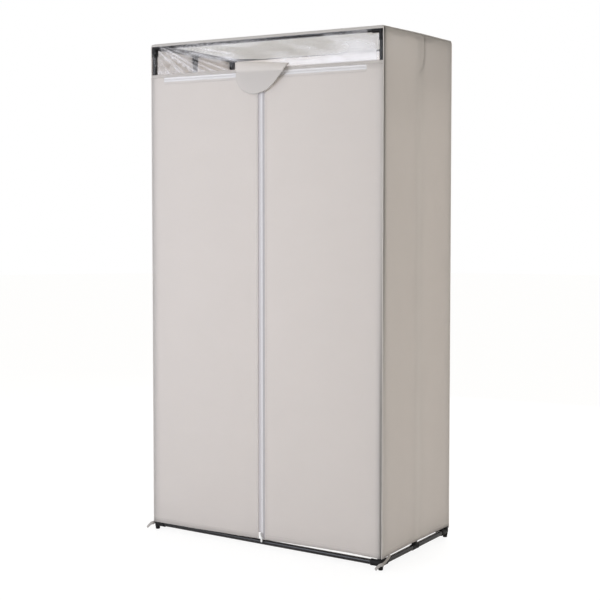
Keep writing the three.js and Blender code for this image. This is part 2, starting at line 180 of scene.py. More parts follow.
class WardrobeFrame(bpy.types.PropertyGroup):
    """The tube frame."""

    tube_wall: length(
        "Tube wall", "Wall thickness of the steel tube", 0.8, 0.3, 3)
    round_steps: IntProperty(
        name="Round steps", description="Steps round a tube or sleeve", default=40, min=12, max=96)
    swage_length: length(
        "Swage length", "Length of a post's drawn-down end", 40, 10, 80)
    sleeve_bead: length(
        "Sleeve bead", "How far the bead at a sleeve's mouth stands out", 0.3, 0, 0.4)


class WardrobeZips(bpy.types.PropertyGroup):
    """The zips and their sliders."""

    tooth_pitch: length(
        "Tooth pitch", "Distance between two turns of one coil", 2.4, 1, 6)
    tape_thickness: length(
        "Tape thickness", "Thickness of the woven zip tape", 0.5, 0.2, 1.5)


class WardrobeColours(bpy.types.PropertyGroup):
    """The finishes."""

    cloth: colour("Cloth", "Colour of the non-woven cloth", 0.82, 0.79, 0.772)
    roof: colour("Roof", "Colour of the roof cloth", 0.80, 0.795, 0.78)
    binding: colour("Binding", "Colour of the bound edges", 0.60, 0.58, 0.565)
    thread: colour("Thread", "Colour of the sewing thread", 0.53, 0.505, 0.485)
    film: colour("Clear strip", "Colour of the haze in the clear strip", 0.84, 0.83, 0.86)
    tube: colour("Tube", "Colour of the coated tube", 0.015, 0.0145, 0.0155)
    fitting: colour("Fitting", "Colour of the moulded fittings", 0.009, 0.0086, 0.0094)
    zip_tape: colour("Zip tape", "Colour of the upright zip's tape", 0.475, 0.452, 0.47)
    zip_white: colour("Zip white", "Colour of the coils and of the top zip", 0.78, 0.77, 0.79)
    slider: colour("Slider", "Colour of the enamelled sliders and pulls", 0.86, 0.86, 0.86)
    tie: colour("Tie tape", "Colour of the tie tapes", 0.39, 0.37, 0.36)


# Curves, noise and grid lines


def ease(value, low, high):
    """Goes smoothly from 0 at low to 1 at high."""
    share = min(1.0, max(0.0, (value - low) / (high - low)))
    return share * share * (3 - 2 * share)


def bump(value, centre, reach):
    """1 at the centre, falling smoothly to 0 at reach from it."""
    return 1 - ease(abs(value - centre), 0, reach)


def fade(away, reach):
    """Falls straight from 1 at no distance to 0 at reach."""
    return max(0.0, 1 - away / reach)


def arc(value, low, high):
    """Half a wave: 1 half way from low to high, and 0 outside."""
    return math.sin(math.pi * min(1.0, max(0.0, (value - low) / (high - low))))


def ripple(point, size, seed):
    """Smooth noise from -1 to 1 whose waves are about size long."""
    return noise.noise(Vector(point) / size + Vector((seed, 1.7 * seed, -seed)))


def waves(a, b, seed):
    """Smooth noise from -1 to 1 that depends on two shares."""
    return noise.noise(Vector((a, b, seed)))


def lines(stops, step):
    """Places for the lines of a grid. Every stop, given as (place, spacing), gets a line, and away
    from it the lines widen from its spacing to step."""
    growth = 1.4
    places = [stops[0][0]]
    for (low, near_low), (high, near_high) in zip(stops, stops[1:]):
        rising, falling = [], []
        a, b, step_a, step_b = low, high, near_low, near_high
        while b - a > step_a + step_b:
            if step_a <= step_b:
                a += step_a
                rising.append(a)
                step_a = min(step_a * growth, step)
            else:
                b -= step_b
                falling.append(b)
                step_b = min(step_b * growth, step)
        if b - a > 1.2 * max(step_a, step_b):
            rising.append((a + b) / 2)
        elif b - a < 0.4 * min(step_a, step_b) and rising:
            rising.pop()
        places += [*rising, *reversed(falling), high]
    return places


def seam_lines(half, step, inner=()):
    """Grid lines from seam to seam, closer at the rounded edges and at inner places."""
    places = (-half - TURN, -half, *inner, half, half + TURN)
    return lines([(place, FINE) for place in places], step)


def even(low, high, count):
    """count + 1 even places from low to high."""
    return [low + (high - low) * i / count for i in range(count + 1)]


def curve(points, i, share):
    """Point of a smooth curve through points, a share of the way from point i to the next."""
    last = len(points) - 1
    a, b, c, d = (points[k] for k in (max(0, i - 1), i, i + 1, min(last, i + 2)))
    return 0.5 * (
        2 * b + (c - a) * share + (2 * a - 5 * b + 4 * c - d) * share ** 2
        + (3 * b - a - 3 * c + d) * share ** 3
    )


def along_curve(points, share):
    """Point of a smooth curve through points, at a share of the way along it."""
    reach = share * (len(points) - 1)
    i = min(len(points) - 2, int(reach))
    return curve(points, i, reach - i)


def between(stops, s):
    """Value at s of a curve that goes smoothly from one (place, value) stop to the next."""
    for (low, first), (high, second) in zip(stops, stops[1:]):
        if s <= high:
            return first + (second - first) * ease(s, low, high)
    return stops[-1][1]


# The faces of the cover


class Face:
    """A flat side of the cover, with the edges that round off to its neighbours."""

    def __init__(self, name, across, up, half, away, low=-1e9, high=1e9):
        self.name = name
        self.across, self.up = Vector(across), Vector(up)
        self.normal = self.across.cross(self.up)
        self.half, self.away, self.low, self.high = half, away, low, high

    def turned(self, s, t):
        """Outward direction at a place on the face."""
        over_s = (abs(s) - self.half) / CORNER
        lean_s = math.copysign(math.tan(over_s), s) if over_s > 0 else 0.0
        over_t = max(t - self.high, 0) + min(t - self.low, 0)
        lean_t = math.tan(over_t / CORNER)
        return (self.across * lean_s + self.up * lean_t + self.normal).normalized()

    def at(self, s, t, out=0.0):
        """Point that stands out from the cover's outer surface."""
        core_s = min(self.half, max(-self.half, s))
        core_t = min(self.high, max(self.low, t))
        core = self.across * core_s + self.up * core_t + self.normal * self.away
        return core + self.turned(s, t) * (CORNER + out)


FACES = {
    "front": Face("front", (1, 0, 0), (0, 0, 1), POST_X, POST_Y, high=RAIL_TOP),
    "right": Face("right", (0, 1, 0), (0, 0, 1), POST_Y, POST_X, high=RAIL_TOP),
    "back": Face("back", (-1, 0, 0), (0, 0, 1), POST_X, POST_Y, high=RAIL_TOP),
    "left": Face("left", (0, -1, 0), (0, 0, 1), POST_Y, POST_X, high=RAIL_TOP),
    "roof": Face("roof", (1, 0, 0), (0, 1, 0), POST_X, RAIL_TOP, low=-POST_Y, high=POST_Y),
}


# Mesh building


def lay(bm, columns, rows, place, keep=None, shade=None):
    """Lays a grid with lines at columns and rows, and moves each crossing to place(a, b). Faces
    where keep(a, b) is false are left out. The grid's own a and b become its UV map, and
    shade(a, b) becomes the painted shade that darkens the cloth, or whitens the clear strip."""
    uv = bm.loops.layers.uv.verify()
    tone = bm.verts.layers.float.get("shade") or bm.verts.layers.float.new("shade")
    across, up = len(columns) - 1, len(rows) - 1
    made = bmesh.ops.create_grid(bm, x_segments=across, y_segments=up, size=0.5)["verts"]
    flat = {}
    for vert in made:
        i = round((vert.co.x + 0.5) * across)
        j = round((vert.co.y + 0.5) * up)
        flat[vert] = (columns[i], rows[j])
    unwanted = []
    for face in {face for vert in made for face in vert.link_faces}:
        face.smooth = True
        for loop in face.loops:
            loop[uv].uv = flat[loop.vert]
        if keep:
            corners = [flat[vert] for vert in face.verts]
            if not keep(sum(a for a, _ in corners) / 4, sum(b for _, b in corners) / 4):
                unwanted.append(face)
    for vert, (a, b) in flat.items():
        vert.co = place(a, b)
        if shade:
            vert[tone] = shade(a, b)
    bmesh.ops.delete(bm, geom=unwanted, context="FACES")
    return [vert for vert in made if vert.is_valid]


def wrap(bm, path, along, around, section):
    """Draws a closed section along a path. path(d) gives a point and its sideways and outward
    directions, and section(a) the sideways and outward distances at each place a around it."""

    def place(d, a):
        point, side, out = path(d)
        x, y = section(a)
        return point + side * x + out * y

    verts = lay(bm, along, around, place)
    bmesh.ops.remove_doubles(bm, verts=verts, dist=MERGE_CLOSE)


def cord(bm, path, along, across_radius, out_radius, sides=8):
    """Round or oval bead along a path."""
    wrap(
        bm, path, along, even(0, math.tau, sides),
        lambda angle: (across_radius * math.cos(angle), out_radius * math.sin(angle)),
    )


def band(bm, path, along, width, thickness):
    """Flat ribbon along a path, with rounded edges."""
    half, thick = width / 2, thickness / 2
    soft = half - 0.35 * thick
    section = [
        (-half, 0), (-soft, -thick), (0, -thick), (soft, -thick), (half, 0), (soft, thick),
        (0, thick), (-soft, thick), (-half, 0),
    ]
    last = len(section) - 1
    wrap(bm, path, along, even(0, last, last), lambda index: section[round(index)])


def cap_open(bm):
    """Closes every open edge loop and turns all faces outwards."""
    open_edges = [edge for edge in bm.edges if edge.is_boundary]
    if open_edges:
        bmesh.ops.holes_fill(bm, edges=open_edges, sides=0)
    bmesh.ops.recalc_face_normals(bm, faces=bm.faces[:])


def mark_sharp(bm, degrees=35):
    """Shades faces smoothly, with a crisp line where they meet at more than an angle."""
    limit = math.radians(degrees)
    for face in bm.faces:
        face.smooth = True
    for edge in bm.edges:
        edge.smooth = len(edge.link_faces) == 2 and edge.calc_face_angle(0.0) < limit


def lathe(bm, profile, closed=True):
    """Turns a profile of (radius, height) points round Z. An open one starts and ends there."""
    verts = [bm.verts.new((radius, 0, height)) for radius, height in profile]
    following = [*verts[1:], verts[0]] if closed else verts[1:]
    edges = [bm.edges.new(pair) for pair in zip(verts, following)]
    bmesh.ops.spin(
        bm, geom=[*verts, *edges], cent=(0, 0, 0), axis=(0, 0, 1), angle=math.tau,
        steps=bpy.context.scene.wardrobe_frame.round_steps, use_merge=True,
    )
    bmesh.ops.remove_doubles(bm, verts=bm.verts[:], dist=MERGE_CLOSE)
    bmesh.ops.recalc_face_normals(bm, faces=bm.faces[:])


def extrude(bm, faces, move):
    """Extrudes faces by a vector, and gives the faces at its end."""
    made = bmesh.ops.extrude_face_region(bm, geom=faces)["geom"]
    moved = [part for part in made if isinstance(part, bmesh.types.BMVert)]
    bmesh.ops.translate(bm, verts=moved, vec=move)
    return [part for part in made if isinstance(part, bmesh.types.BMFace)]


def soften(bm, edges, radius, segments):
    """Rounds off edges."""
    bmesh.ops.bevel(
        bm, geom=edges, offset=radius, segments=segments, profile=0.5, affect="EDGES",
        material=-1,
    )


def repeat(bm, move, count):
    """Repeats all that a bmesh holds, count times, each copy moved on by a vector."""
    bmesh.ops.spin(
        bm, geom=bm.verts[:] + bm.edges[:] + bm.faces[:], cent=(0, 0, 0), axis=(0, 0, 1),
        dvec=move, angle=0, steps=count, use_duplicate=True,
    )


def turn_to(direction):
    """Rotation that turns +Z to a direction."""
    return Vector((0, 0, 1)).rotation_difference(Vector(direction)).to_matrix().to_4x4()


def join(bm, other):
    """Moves another bmesh's mesh into bm."""
    spare = bpy.data.meshes.new("spare")
    other.to_mesh(spare)
    other.free()
    bm.from_mesh(spare)
    bpy.data.meshes.remove(spare)


def settle(thing):
    """Applies an object's modifiers to its mesh."""
    bpy.context.view_layer.update()
    finished = bpy.data.meshes.new_from_object(
        thing.evaluated_get(bpy.context.evaluated_depsgraph_get())
    )
    thing.modifiers.clear()
    old = thing.data
    thing.data = finished
    bpy.data.meshes.remove(old)
    finished.name = thing.name


def make(name, bm, finishes, thickness=0.0):
    """Makes a finished mesh object of a bmesh. A thickness is laid behind the faces."""
    mesh = bpy.data.meshes.new(name)
    bm.to_mesh(mesh)
    bm.free()
    for kind in finishes:
        mesh.materials.append(finish(kind))
    thing = bpy.data.objects.new(name, mesh)
    bpy.context.scene.collection.objects.link(thing)
    if thickness:
        solid = thing.modifiers.new("Thickness", "SOLIDIFY")
        solid.thickness = thickness
        solid.offset = -1
        settle(thing)
    return thing


def fit(piece, slot, body, *nodes):
    """Hides the nodes that a piece stands for, and hangs it on its body. slot is not used.
    Without a body, the piece is hung on one later, or left where it is."""
    if nodes:
        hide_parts(*nodes)
    if body:
        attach(piece, body)
    return piece


def stitch(bm, path, start, end):
    """Row of stitches. path(d) gives a point on the cloth and its along and outward directions."""
    count = max(2, round((end - start) / bpy.context.scene.wardrobe_cover.stitch_pitch))
    gap = (end - start) / count
    row = bmesh.new()
    bmesh.ops.create_icosphere(row, subdivisions=1, radius=0.5)
    bmesh.ops.scale(row, vec=STITCH, verts=row.verts[:])
    repeat(row, (gap, 0, 0), count - 1)
    lies = {}
    for vert in row.verts:
        i = round(vert.co.x / gap)
        if i not in lies:
            lies[i] = path(start + (i + 0.5) * gap)
        point, along, out = lies[i]
        side = out.cross(along)
        vert.co = point + along * (vert.co.x - i * gap) + side * vert.co.y + out * vert.co.z
    for face in row.faces:
        face.smooth = True
    join(bm, row)


# Materials


class Wire:
    """A value in a node tree. Sums and products of wires add Math nodes."""

    def __init__(self, tree, socket):
        self.tree, self.socket = tree, socket

    def math(self, operation, first, second):
        """Adds a Math node that takes two values."""
        return self.tree.node("ShaderNodeMath", {0: first, 1: second}, operation=operation)

    def __add__(self, other):
        return self.math("ADD", self, other)

    def __radd__(self, other):
        return self.math("ADD", other, self)

    def __sub__(self, other):
        return self.math("SUBTRACT", self, other)

    def __rsub__(self, other):
        return self.math("SUBTRACT", other, self)

    def __mul__(self, other):
        return self.math("MULTIPLY", self, other)

    def __rmul__(self, other):
        return self.math("MULTIPLY", other, self)


class NodeTree:
    """A cleared node tree, and the one method that adds nodes to it."""

    def __init__(self, tree):
        self.nodes, self.links = tree.nodes, tree.links
        self.nodes.clear()

    def node(self, kind, inputs=None, output=0, **settings):
        """Adds a node: settings first, then a value or a wire for each named socket."""
        node = self.nodes.new(kind)
        for key, value in settings.items():
            setattr(node, key, value)
        for key, value in (inputs or {}).items():
            if isinstance(value, Wire):
                self.links.new(value.socket, node.inputs[key])
            else:
                node.inputs[key].default_value = value
        return Wire(self, node.outputs[output] if node.outputs else None)


class Finish(NodeTree):
    """A material and the nodes in it."""

    def __init__(self, name):
        self.material = bpy.data.materials.new(name)
        self.material.use_nodes = True
        super().__init__(self.material.node_tree)

    def uv(self):
        """The piece's own map, in metres of cloth."""
        return self.node("ShaderNodeTexCoord", output="UV")

    def place(self):
        """The place in the piece."""
        return self.node("ShaderNodeTexCoord", output="Object")

    def shade(self):
        """Painted shade that the mesh carries; on the clear strip, painted reflections."""
        return self.node("ShaderNodeAttribute", output="Fac", attribute_name="shade")

    def turned(self, coordinates, angle, size):
        """Coordinates turned by an angle and counted in a size."""
        return self.node("ShaderNodeMapping", {
            "Vector": coordinates, "Rotation": (0, 0, angle), "Scale": (1 / size, 1 / size, 1),
        })

    def noise(self, coordinates, size, detail=2.0, roughness=0.5, stretch=(1, 1, 1)):
        """Noise from 0 to 1 with waves about size metres long."""
        scale = [1 / (size * share) for share in stretch]
        scaled = self.node("ShaderNodeMapping", {"Vector": coordinates, "Scale": scale})
        return self.node("ShaderNodeTexNoise", {
            "Vector": scaled, "Scale": 1.0, "Detail": detail, "Roughness": roughness,
        })

    def spread(self, value, low, high):
        """Goes from 0 where a value is low to 1 where it is high."""
        return self.node("ShaderNodeMapRange", {"Value": value, "From Min": low, "From Max": high})

    def tint(self, base, amount):
        """A colour times a value that varies round 1."""
        grey = self.node("ShaderNodeCombineColor", {"Red": amount, "Green": amount, "Blue": amount})
        return self.node("ShaderNodeVectorMath", {0: base[:3], 1: grey}, operation="MULTIPLY")

    def relief(self, height, distance, strength=0.5):
        """Bumps of a height, as a normal."""
        return self.node(
            "ShaderNodeBump", {"Height": height, "Distance": distance, "Strength": strength})

    def principled(self, **inputs):
        """The surface shader, with its sockets named in small letters."""
        return self.node("ShaderNodeBsdfPrincipled", {
            key.replace("_", " ").title().replace("Ior", "IOR"): value
            for key, value in inputs.items()
        })

    def done(self, surface):
        """Ends the material with its surface."""
        self.node("ShaderNodeOutputMaterial", {"Surface": surface})
        return self.material


def cloth_finish(name, base, thin):
    """Non-woven cloth: pressed dots, fibres, cloudy weight, and a light that comes through."""
    f = Finish(name)
    uv = f.uv()
    dots = f.node(
        "ShaderNodeTexVoronoi",
        {"Vector": f.turned(uv, EIGHTH, 1.3 * MM), "Scale": 1.0, "Randomness": 0.0},
        output="Distance", voronoi_dimensions="2D",
    )
    fibres = f.noise(uv, 1.6 * MM, detail=3, roughness=0.7, stretch=(1.8, 1, 1))
    clouds = f.noise(uv, 95 * MM, detail=3, roughness=0.55, stretch=(1.9, 1, 1))
    specks = f.noise(uv, 11 * MM, detail=2, roughness=0.6, stretch=(1.4, 1, 1))
    weight = 0.955 + clouds * 0.05 + specks * 0.02 + fibres * 0.02
    surface = f.principled(
        # The shade attribute darkens the colour: painted shade
        base_color=f.tint(base, weight * (1 - f.shade() * 0.72)),
        roughness=0.78 + fibres * 0.16,
        specular_ior_level=0.25,
        normal=f.relief(f.spread(dots, 0.18, 0.34) * 0.6 + fibres * 0.8, 0.05 * MM, 0.8),
    )
    through = f.node("ShaderNodeBsdfTranslucent", {"Color": (*base[:3], 1)})
    return f.done(f.node("ShaderNodeMixShader", {0: thin, 1: surface, 2: through}))


def film_finish(name, base):
    """Soft clear plastic, with milky creases where it was folded, and painted reflections."""
    f = Finish(name)
    uv = f.uv()
    lengths = f.noise(uv, 26 * MM, detail=4, roughness=0.6, stretch=(5.5, 0.55, 1))
    patches = f.noise(uv, 60 * MM, detail=3, roughness=0.6, stretch=(1.6, 1, 1))
    fine = f.noise(uv, 7 * MM, detail=3, roughness=0.65, stretch=(2.5, 0.8, 1))
    streaks = f.spread(lengths, 0.5, 0.74)
    broken = f.spread(patches, 0.35, 0.62)
    scuffs = f.spread(fine, 0.55, 0.8)
    # Painted sheen: the haze thickens where the strip is seen at a grazing angle
    edge = f.node("ShaderNodeFresnel", {"IOR": 1.5})
    # The shade attribute brings the painted reflections and milky creases into the haze
    haze = streaks * broken * 0.2 + scuffs * 0.05 + f.shade() * 0.42 + edge * 0.12
    return f.done(f.principled(
        base_color=f.tint(base, 0.92 + patches * 0.12),
        roughness=0.12 + streaks * 0.25,
        specular_ior_level=0.6,
        alpha=f.node("ShaderNodeClamp", {"Value": haze, "Min": 0.0, "Max": 1.0}),
        normal=f.relief(fine * 0.5 + lengths, 0.5 * MM),
    ))


def tube_finish(name, base):
    """Powder coat on steel: nearly smooth, with a faint orange peel."""
    f = Finish(name)
    place = f.place()
    wear = f.noise(place, 40 * MM, detail=4, roughness=0.65)
    return f.done(f.principled(
        base_color=f.tint(base, 0.8 + wear * 0.5),
        roughness=0.17 + wear * 0.1,
        specular_ior_level=0.3,
        coat_weight=0.1,
        coat_roughness=0.2,
        normal=f.relief(f.noise(place, 1.3 * MM), 0.03 * MM),
    ))


def fitting_finish(name, base):
    """Matte moulded plastic with a fine spark-eroded grain."""
    f = Finish(name)
    place = f.place()
    grain = f.noise(place, 0.5 * MM, roughness=0.7)
    rubbed = f.noise(place, 14 * MM, detail=3)
    return f.done(f.principled(
        base_color=f.tint(base, 0.75 + rubbed * 0.6),
        roughness=0.48 + grain * 0.2,
        specular_ior_level=0.22,
        normal=f.relief(grain, 0.04 * MM, 0.6),
    ))


def tape_finish(name, base, pitch):
    """Woven tape: close diagonal ribs over warp threads."""
    f = Finish(name)
    uv = f.uv()
    ribs = f.node("ShaderNodeTexWave", {
        "Vector": f.turned(uv, 0.6, pitch), "Scale": 0.16, "Distortion": 0.6, "Detail": 1.0,
    }, output="Fac")
    threads = f.noise(uv, 0.8 * MM, stretch=(1, 5, 1))
    soil = f.noise(uv, 30 * MM, detail=3)
    weight = 0.93 + ribs * 0.05 + threads * 0.05 + soil * 0.03
    return f.done(f.principled(
        # The shade attribute darkens or lightens the colour: painted shade and light
        base_color=f.tint(base, weight * (1 - f.shade() * 0.6)),
        roughness=0.75 + threads * 0.15,
        specular_ior_level=0.3,
        normal=f.relief(ribs * 0.7 + threads * 0.5, 0.08 * MM, 0.7),
    ))


def coil_finish(name, base):
    """Nylon thread or coil: smooth, slightly waxy."""
    f = Finish(name)
    dull = f.noise(f.place(), 6 * MM)
    return f.done(f.principled(
        base_color=f.tint(base, 0.96 + dull * 0.06),
        roughness=0.32 + dull * 0.12,
        specular_ior_level=0.5,
    ))


def enamel_finish(name, base):
    """Sprayed enamel on die-cast zinc, rubbed a little."""
    f = Finish(name)
    place = f.place()
    spray = f.noise(place, 0.7 * MM)
    rubbed = f.noise(place, 3 * MM, detail=3)
    return f.done(f.principled(
        base_color=f.tint(base, 0.93 + rubbed * 0.09),
        roughness=0.2 + spray * 0.14,
        coat_weight=0.4,
        coat_roughness=0.15,
        normal=f.relief(spray, 0.02 * MM),
    ))


# For each finish: who makes it, its material's name, its colour and, where it has one, how much
# light a cloth lets through or how far a tape's ribs are apart
FINISHES = {
    "cloth": (cloth_finish, "nonwoven_cloth", "cloth", 0.5),
    "binding": (cloth_finish, "binding_cloth", "binding", 0.2),
    "thin": (cloth_finish, "thin_cloth", "cloth", 0.72),
    "roof": (cloth_finish, "roof_cloth_weave", "roof", 0.62),
    "flap": (cloth_finish, "flap_cloth", "cloth", 0.36),
    "welt": (cloth_finish, "welt_cloth", "cloth", 0.2),
    "film": (film_finish, "clear_film", "film"),
    "tube": (tube_finish, "coated_tube", "tube"),
    "fitting": (fitting_finish, "moulded_fitting", "fitting"),
    "tape": (tape_finish, "zip_tape_grey", "zip_tape", 0.55 * MM),
    "white_tape": (tape_finish, "zip_tape_white", "zip_white", 0.55 * MM),
    "tie": (tape_finish, "tie_tape_weave", "tie", 0.9 * MM),
    "thread": (coil_finish, "sewing_thread", "thread"),
    "coil": (coil_finish, "zip_coil", "zip_white"),
    "slider": (enamel_finish, "pull_enamel", "slider"),
    "slider_body": (enamel_finish, "slider_enamel", "zip_tape"),
}
made_finishes = {}


def finish(kind):
    """The material of a kind of finish, made when it is first used."""
    if kind not in made_finishes:
        maker, name, base, *setting = FINISHES[kind]
        base = getattr(bpy.context.scene.wardrobe_colours, base)
        made_finishes[kind] = maker(name, base, *setting)
    return made_finishes[kind]


# The lie of the cloth


def broad_folds(point, share):
    """A share of the broad soft folds, and the small wrinkles. They depend on place alone, so they
    run on from face to face."""
    cover = bpy.context.scene.wardrobe_cover
    slow = ripple((point.x, point.y, point.z * 0.7), 0.21, 3.1)
    slow += 0.5 * ripple((point.x + 0.6 * point.z, point.y, point.z - 0.4 * point.x), 0.11, 8.7)
    fast = ripple((point.x, point.y, point.z * 0.6), 0.045, 5.3)
    fast += 0.5 * ripple(point, 0.021, 2.2)
    return cover.fold_height * slow * share + cover.wrinkle_height * fast


def pucker(along, away, seed):
    """Small waves that a row of stitches draws into the cloth beside it."""
    reach = 22 * MM
    if not 0 <= away <= reach:
        return 0.0
    strength = (1 - away / reach) ** 2 * min(1.0, away / (2 * MM))
    return 0.448 * MM * strength * waves(along / (17 * MM), away / (3 * reach), seed)


def groove(away, depth=0.35 * MM):
    """Groove that a row of stitches presses into doubled cloth."""
    return -depth * bump(away, 0, 1.6 * MM)


def doubled(inside, height):
    """Step up onto doubled cloth. inside is how far a place is past the edge of the fold."""
    return height * ease(inside, -0.8 * MM, 0.8 * MM)


# Height of the hem, in mm, at places along a face
HEMS = {
    "front": [
        (-0.44, 25.5), (-0.30, 26.5), (-0.12, 29.5), (0.0, 31.8), (0.12, 34.8), (0.22, 36.8),
        (0.31, 38.2), (0.40, 37.0), (0.44, 35.4),
    ],
    "right": [(-0.24, 35.4), (-0.17, 39.0), (-0.05, 40.4), (0.08, 39.6), (0.24, 37.8)],
}
# Depth below the top edge, in mm, of the fold along the top of the right side
EDGE_FOLD = [
    (-0.24, 17), (-0.20, 19), (-0.13, 24), (-0.065, 17), (-0.015, 21), (0.03, 21), (0.065, 23),
    (0.10, 14), (0.15, 7), (0.24, 4),
]
# Heights of the crease in the right side, and where it lies across it
CREASE = [
    (1.595, 0.024), (1.545, 0.027), (1.520, 0.024), (1.503, 0.016), (1.486, 0.001),
    (1.470, -0.016),
]
CREASE_TOP = 1.597


def hem_height(face, s):
    """Height of the hem at a place along it."""
    if face.name in HEMS:
        return between(HEMS[face.name], s) * MM
    return (30.0 + math.sin(s * 9 + 1)) * MM


def near_edges(face, s, t):
    """0 where a tube lies close behind the cloth, rising to 1 away from it."""
    side = ease(face.half - abs(s), -4 * MM, 26 * MM)
    if face.name in ("left", "right"):
        side *= ease(abs(s), 11 * MM, 40 * MM)
    return side * ease(RAIL_TOP - t, -4 * MM, 26 * MM)


def crease_line(t):
    """Where the crease in the right side lies at a height."""
    places = [place for _, place in CREASE]
    for i, ((high, _), (low, _)) in enumerate(zip(CREASE, CREASE[1:])):
        if t >= low:
            return curve(places, i, (high - t) / (high - low))
    return places[-1]


def side_crease(s, t):
    """The right side's crease: the cloth swells up to a line and drops into a narrow valley."""
    strength = ease(t, 1.468, 1.50) * ease(CREASE_TOP - t, 0, 12 * MM)
    if strength <= 0:
        return 0.0
    away = s - crease_line(t)
    ridge = -5 * MM
    swell = 1.9 * MM * bump(away, ridge, 44 * MM if away < ridge else 8 * MM)
    valley = -2.2 * MM * bump(away, 3 * MM, 5 * MM) * ease(t, 1.497, 1.515)
    behind = MM * bump(away, 14 * MM, 26 * MM)
    return strength * (swell + valley + behind)


def edge_fold(s, t):
    """The small roll of cloth under the top edge of the right side."""
    below = SEAM_TOP - t
    roll = bump(below, between(EDGE_FOLD, s) * MM, 7 * MM)
    return 0.8 * MM * roll * ease(below, 6 * MM, 14 * MM)


def wall_out(face, s, t):
    """How far a wall's cloth stands out at a place on it."""
    cover = bpy.context.scene.wardrobe_cover
    calm = near_edges(face, s, t)
    above_hem = 0.45 + 0.55 * ease(t, 30 * MM, 110 * MM)
    folds = broad_folds(face.at(s, t), calm * above_hem) * (0.25 + 0.75 * calm)
    if face.name == "front":
        edge = ZIP_LEFT if s < ZIP_X else ZIP_RIGHT
        far = math.copysign(HINGE + 30 * MM, s - ZIP_X)
        shape = cover.door_bulge * arc(s, far, edge) ** 1.5 * arc(t, HEM_LEFT, DOOR_TOP)
        folds *= ease(abs(s - edge), 2 * MM, 40 * MM) * 0.85 + 0.15
    elif face.name == "back":
        shape = cover.back_bulge * arc(s, -POST_X, POST_X) * arc(t, HEM_LEFT, RAIL_TOP)
    else:
        upright = ease(RAIL_TOP - t, 8 * MM, 34 * MM) * ease(t - RAIL_LOW, 8 * MM, 34 * MM)
        shape = -cover.side_hollow * arc(abs(s), 0, POST_Y) ** 2 * upright
        if face.name == "right":
            shape += side_crease(s, t) + edge_fold(s, t)
    return shape + folds + abs(folds) * (1 - calm)


def front_shade(s, t, to_seam, rising):
    """Painted shade: the right post shows through at the bottom, the left one all the way up."""
    if s > 0:
        post = 0.5 * fade(to_seam, 24 * MM) ** 1.6 + 0.45 * bump(to_seam, 3 * MM, 8 * MM)
        shade = post * (1 - rising)
    else:
        shade = 0.34 * fade(to_seam, 32 * MM) ** 1.6
    # Painted shade under the header band, past the top zip's end
    zip_end = ease(s, ZIP_END - MM, ZIP_END + 5 * MM) * bump(t, BAND_LOW - 5 * MM, 13 * MM)
    return shade + 0.2 * zip_end


def right_shade(s, t, to_seam, rising):
    """Painted shade at the front post, crease and top fold; painted light over the mid post."""
    touch = fade(to_seam, 24 * MM) ** 1.6
    shade = 0.02 * touch
    if s < 0:
        post = bump(to_seam, 3 * MM, 8 * MM)
        # Near the front post: painted light low down, painted shade higher up
        shade = touch * (-0.12 + 0.5 * rising) + post * 0.5 * rising
    # Painted light over the mid post, against its shadow through the cloth
    shade -= 0.2 * bump(s, 0, 24 * MM) * ease(1.53 - t, 0, 0.1)
    # Painted shade, darker towards the top and the back
    shade += 0.07 * ease(t, 1.25, 1.42) + 0.04 * ease(s, 0.06, 0.18)
    away = s - crease_line(t)
    dark_line = bump(away, 6 * MM, 16 * MM) * ease(t, 1.47, 1.495)
    shade += 0.34 * dark_line * ease(CREASE_TOP - t, 0, 10 * MM)
    spread = 50 * MM * ease(1.49 - t, 0, 0.05)
    shade += 0.13 * ease(away, -spread, 12 * MM + spread) * ease(t, 1.36, 1.50)
    return shade + 0.15 * ease(between(EDGE_FOLD, s) * MM - (SEAM_TOP - t), -2 * MM, 3 * MM)


def wall_shade(face, s, t):
    """Painted shade where a black tube shows through; darker towards the bottom and the hem."""
    to_seam = face.half + TURN - abs(s)
    rising = ease(t, 0.30, 1.15)
    if face.name == "front":
        shade = front_shade(s, t, to_seam, rising)
    elif face.name == "right":
        shade = right_shade(s, t, to_seam, rising)
    else:
        shade = 0.16 * fade(to_seam, 24 * MM) ** 1.6
    # Painted shade under the top edge, where the top rail shows through
    if face.name != "front":
        shade += 0.12 * fade(SEAM_TOP - t, 30 * MM)
    # Darker towards the bottom of the wall and along its hem
    foot, hem = (0.12, 0.5) if face.name == "right" else (0.05, 0.3)
    shade += foot * ease(110 * MM - t, 0, 80 * MM)
    return shade + hem * ease(HEM_RIGHT + 12 * MM - t, 0, 10 * MM)


def wall_place(face, hem, extra=None):
    """Gives the function that puts a wall's grid in place, with its hem line and stitched edges."""
    depth = bpy.context.scene.wardrobe_cover.hem_depth
    hang = 70 * MM

    def place(s, t):
        shift = (hem_height(face, s) - hem) * ease(hem + hang - t, 0, hang)
        above = t - hem
        out = wall_out(face, s, t) + doubled(depth - above, 0.45 * MM)
        out += groove(above - (depth - HEM_STITCH)) + pucker(s, above - depth, 1.0)
        if extra:
            out += extra(s, t)
        return face.at(s, t + shift, out)

    return place


def lay_wall(face, columns, rows, place, keep=None):
    """Lays a wall's grid, shaded as its face is."""
    bm = bmesh.new()
    lay(bm, columns, rows, place, keep, lambda s, t: wall_shade(face, s, t))
    return bm


def hem_stops(hem):
    """Heights where a wall's grid lines come close: its hem, the stitching and the fold's top."""
    depth = bpy.context.scene.wardrobe_cover.hem_depth
    return [(hem, FINE), (hem + depth - HEM_STITCH, MM), (hem + depth, MM)]


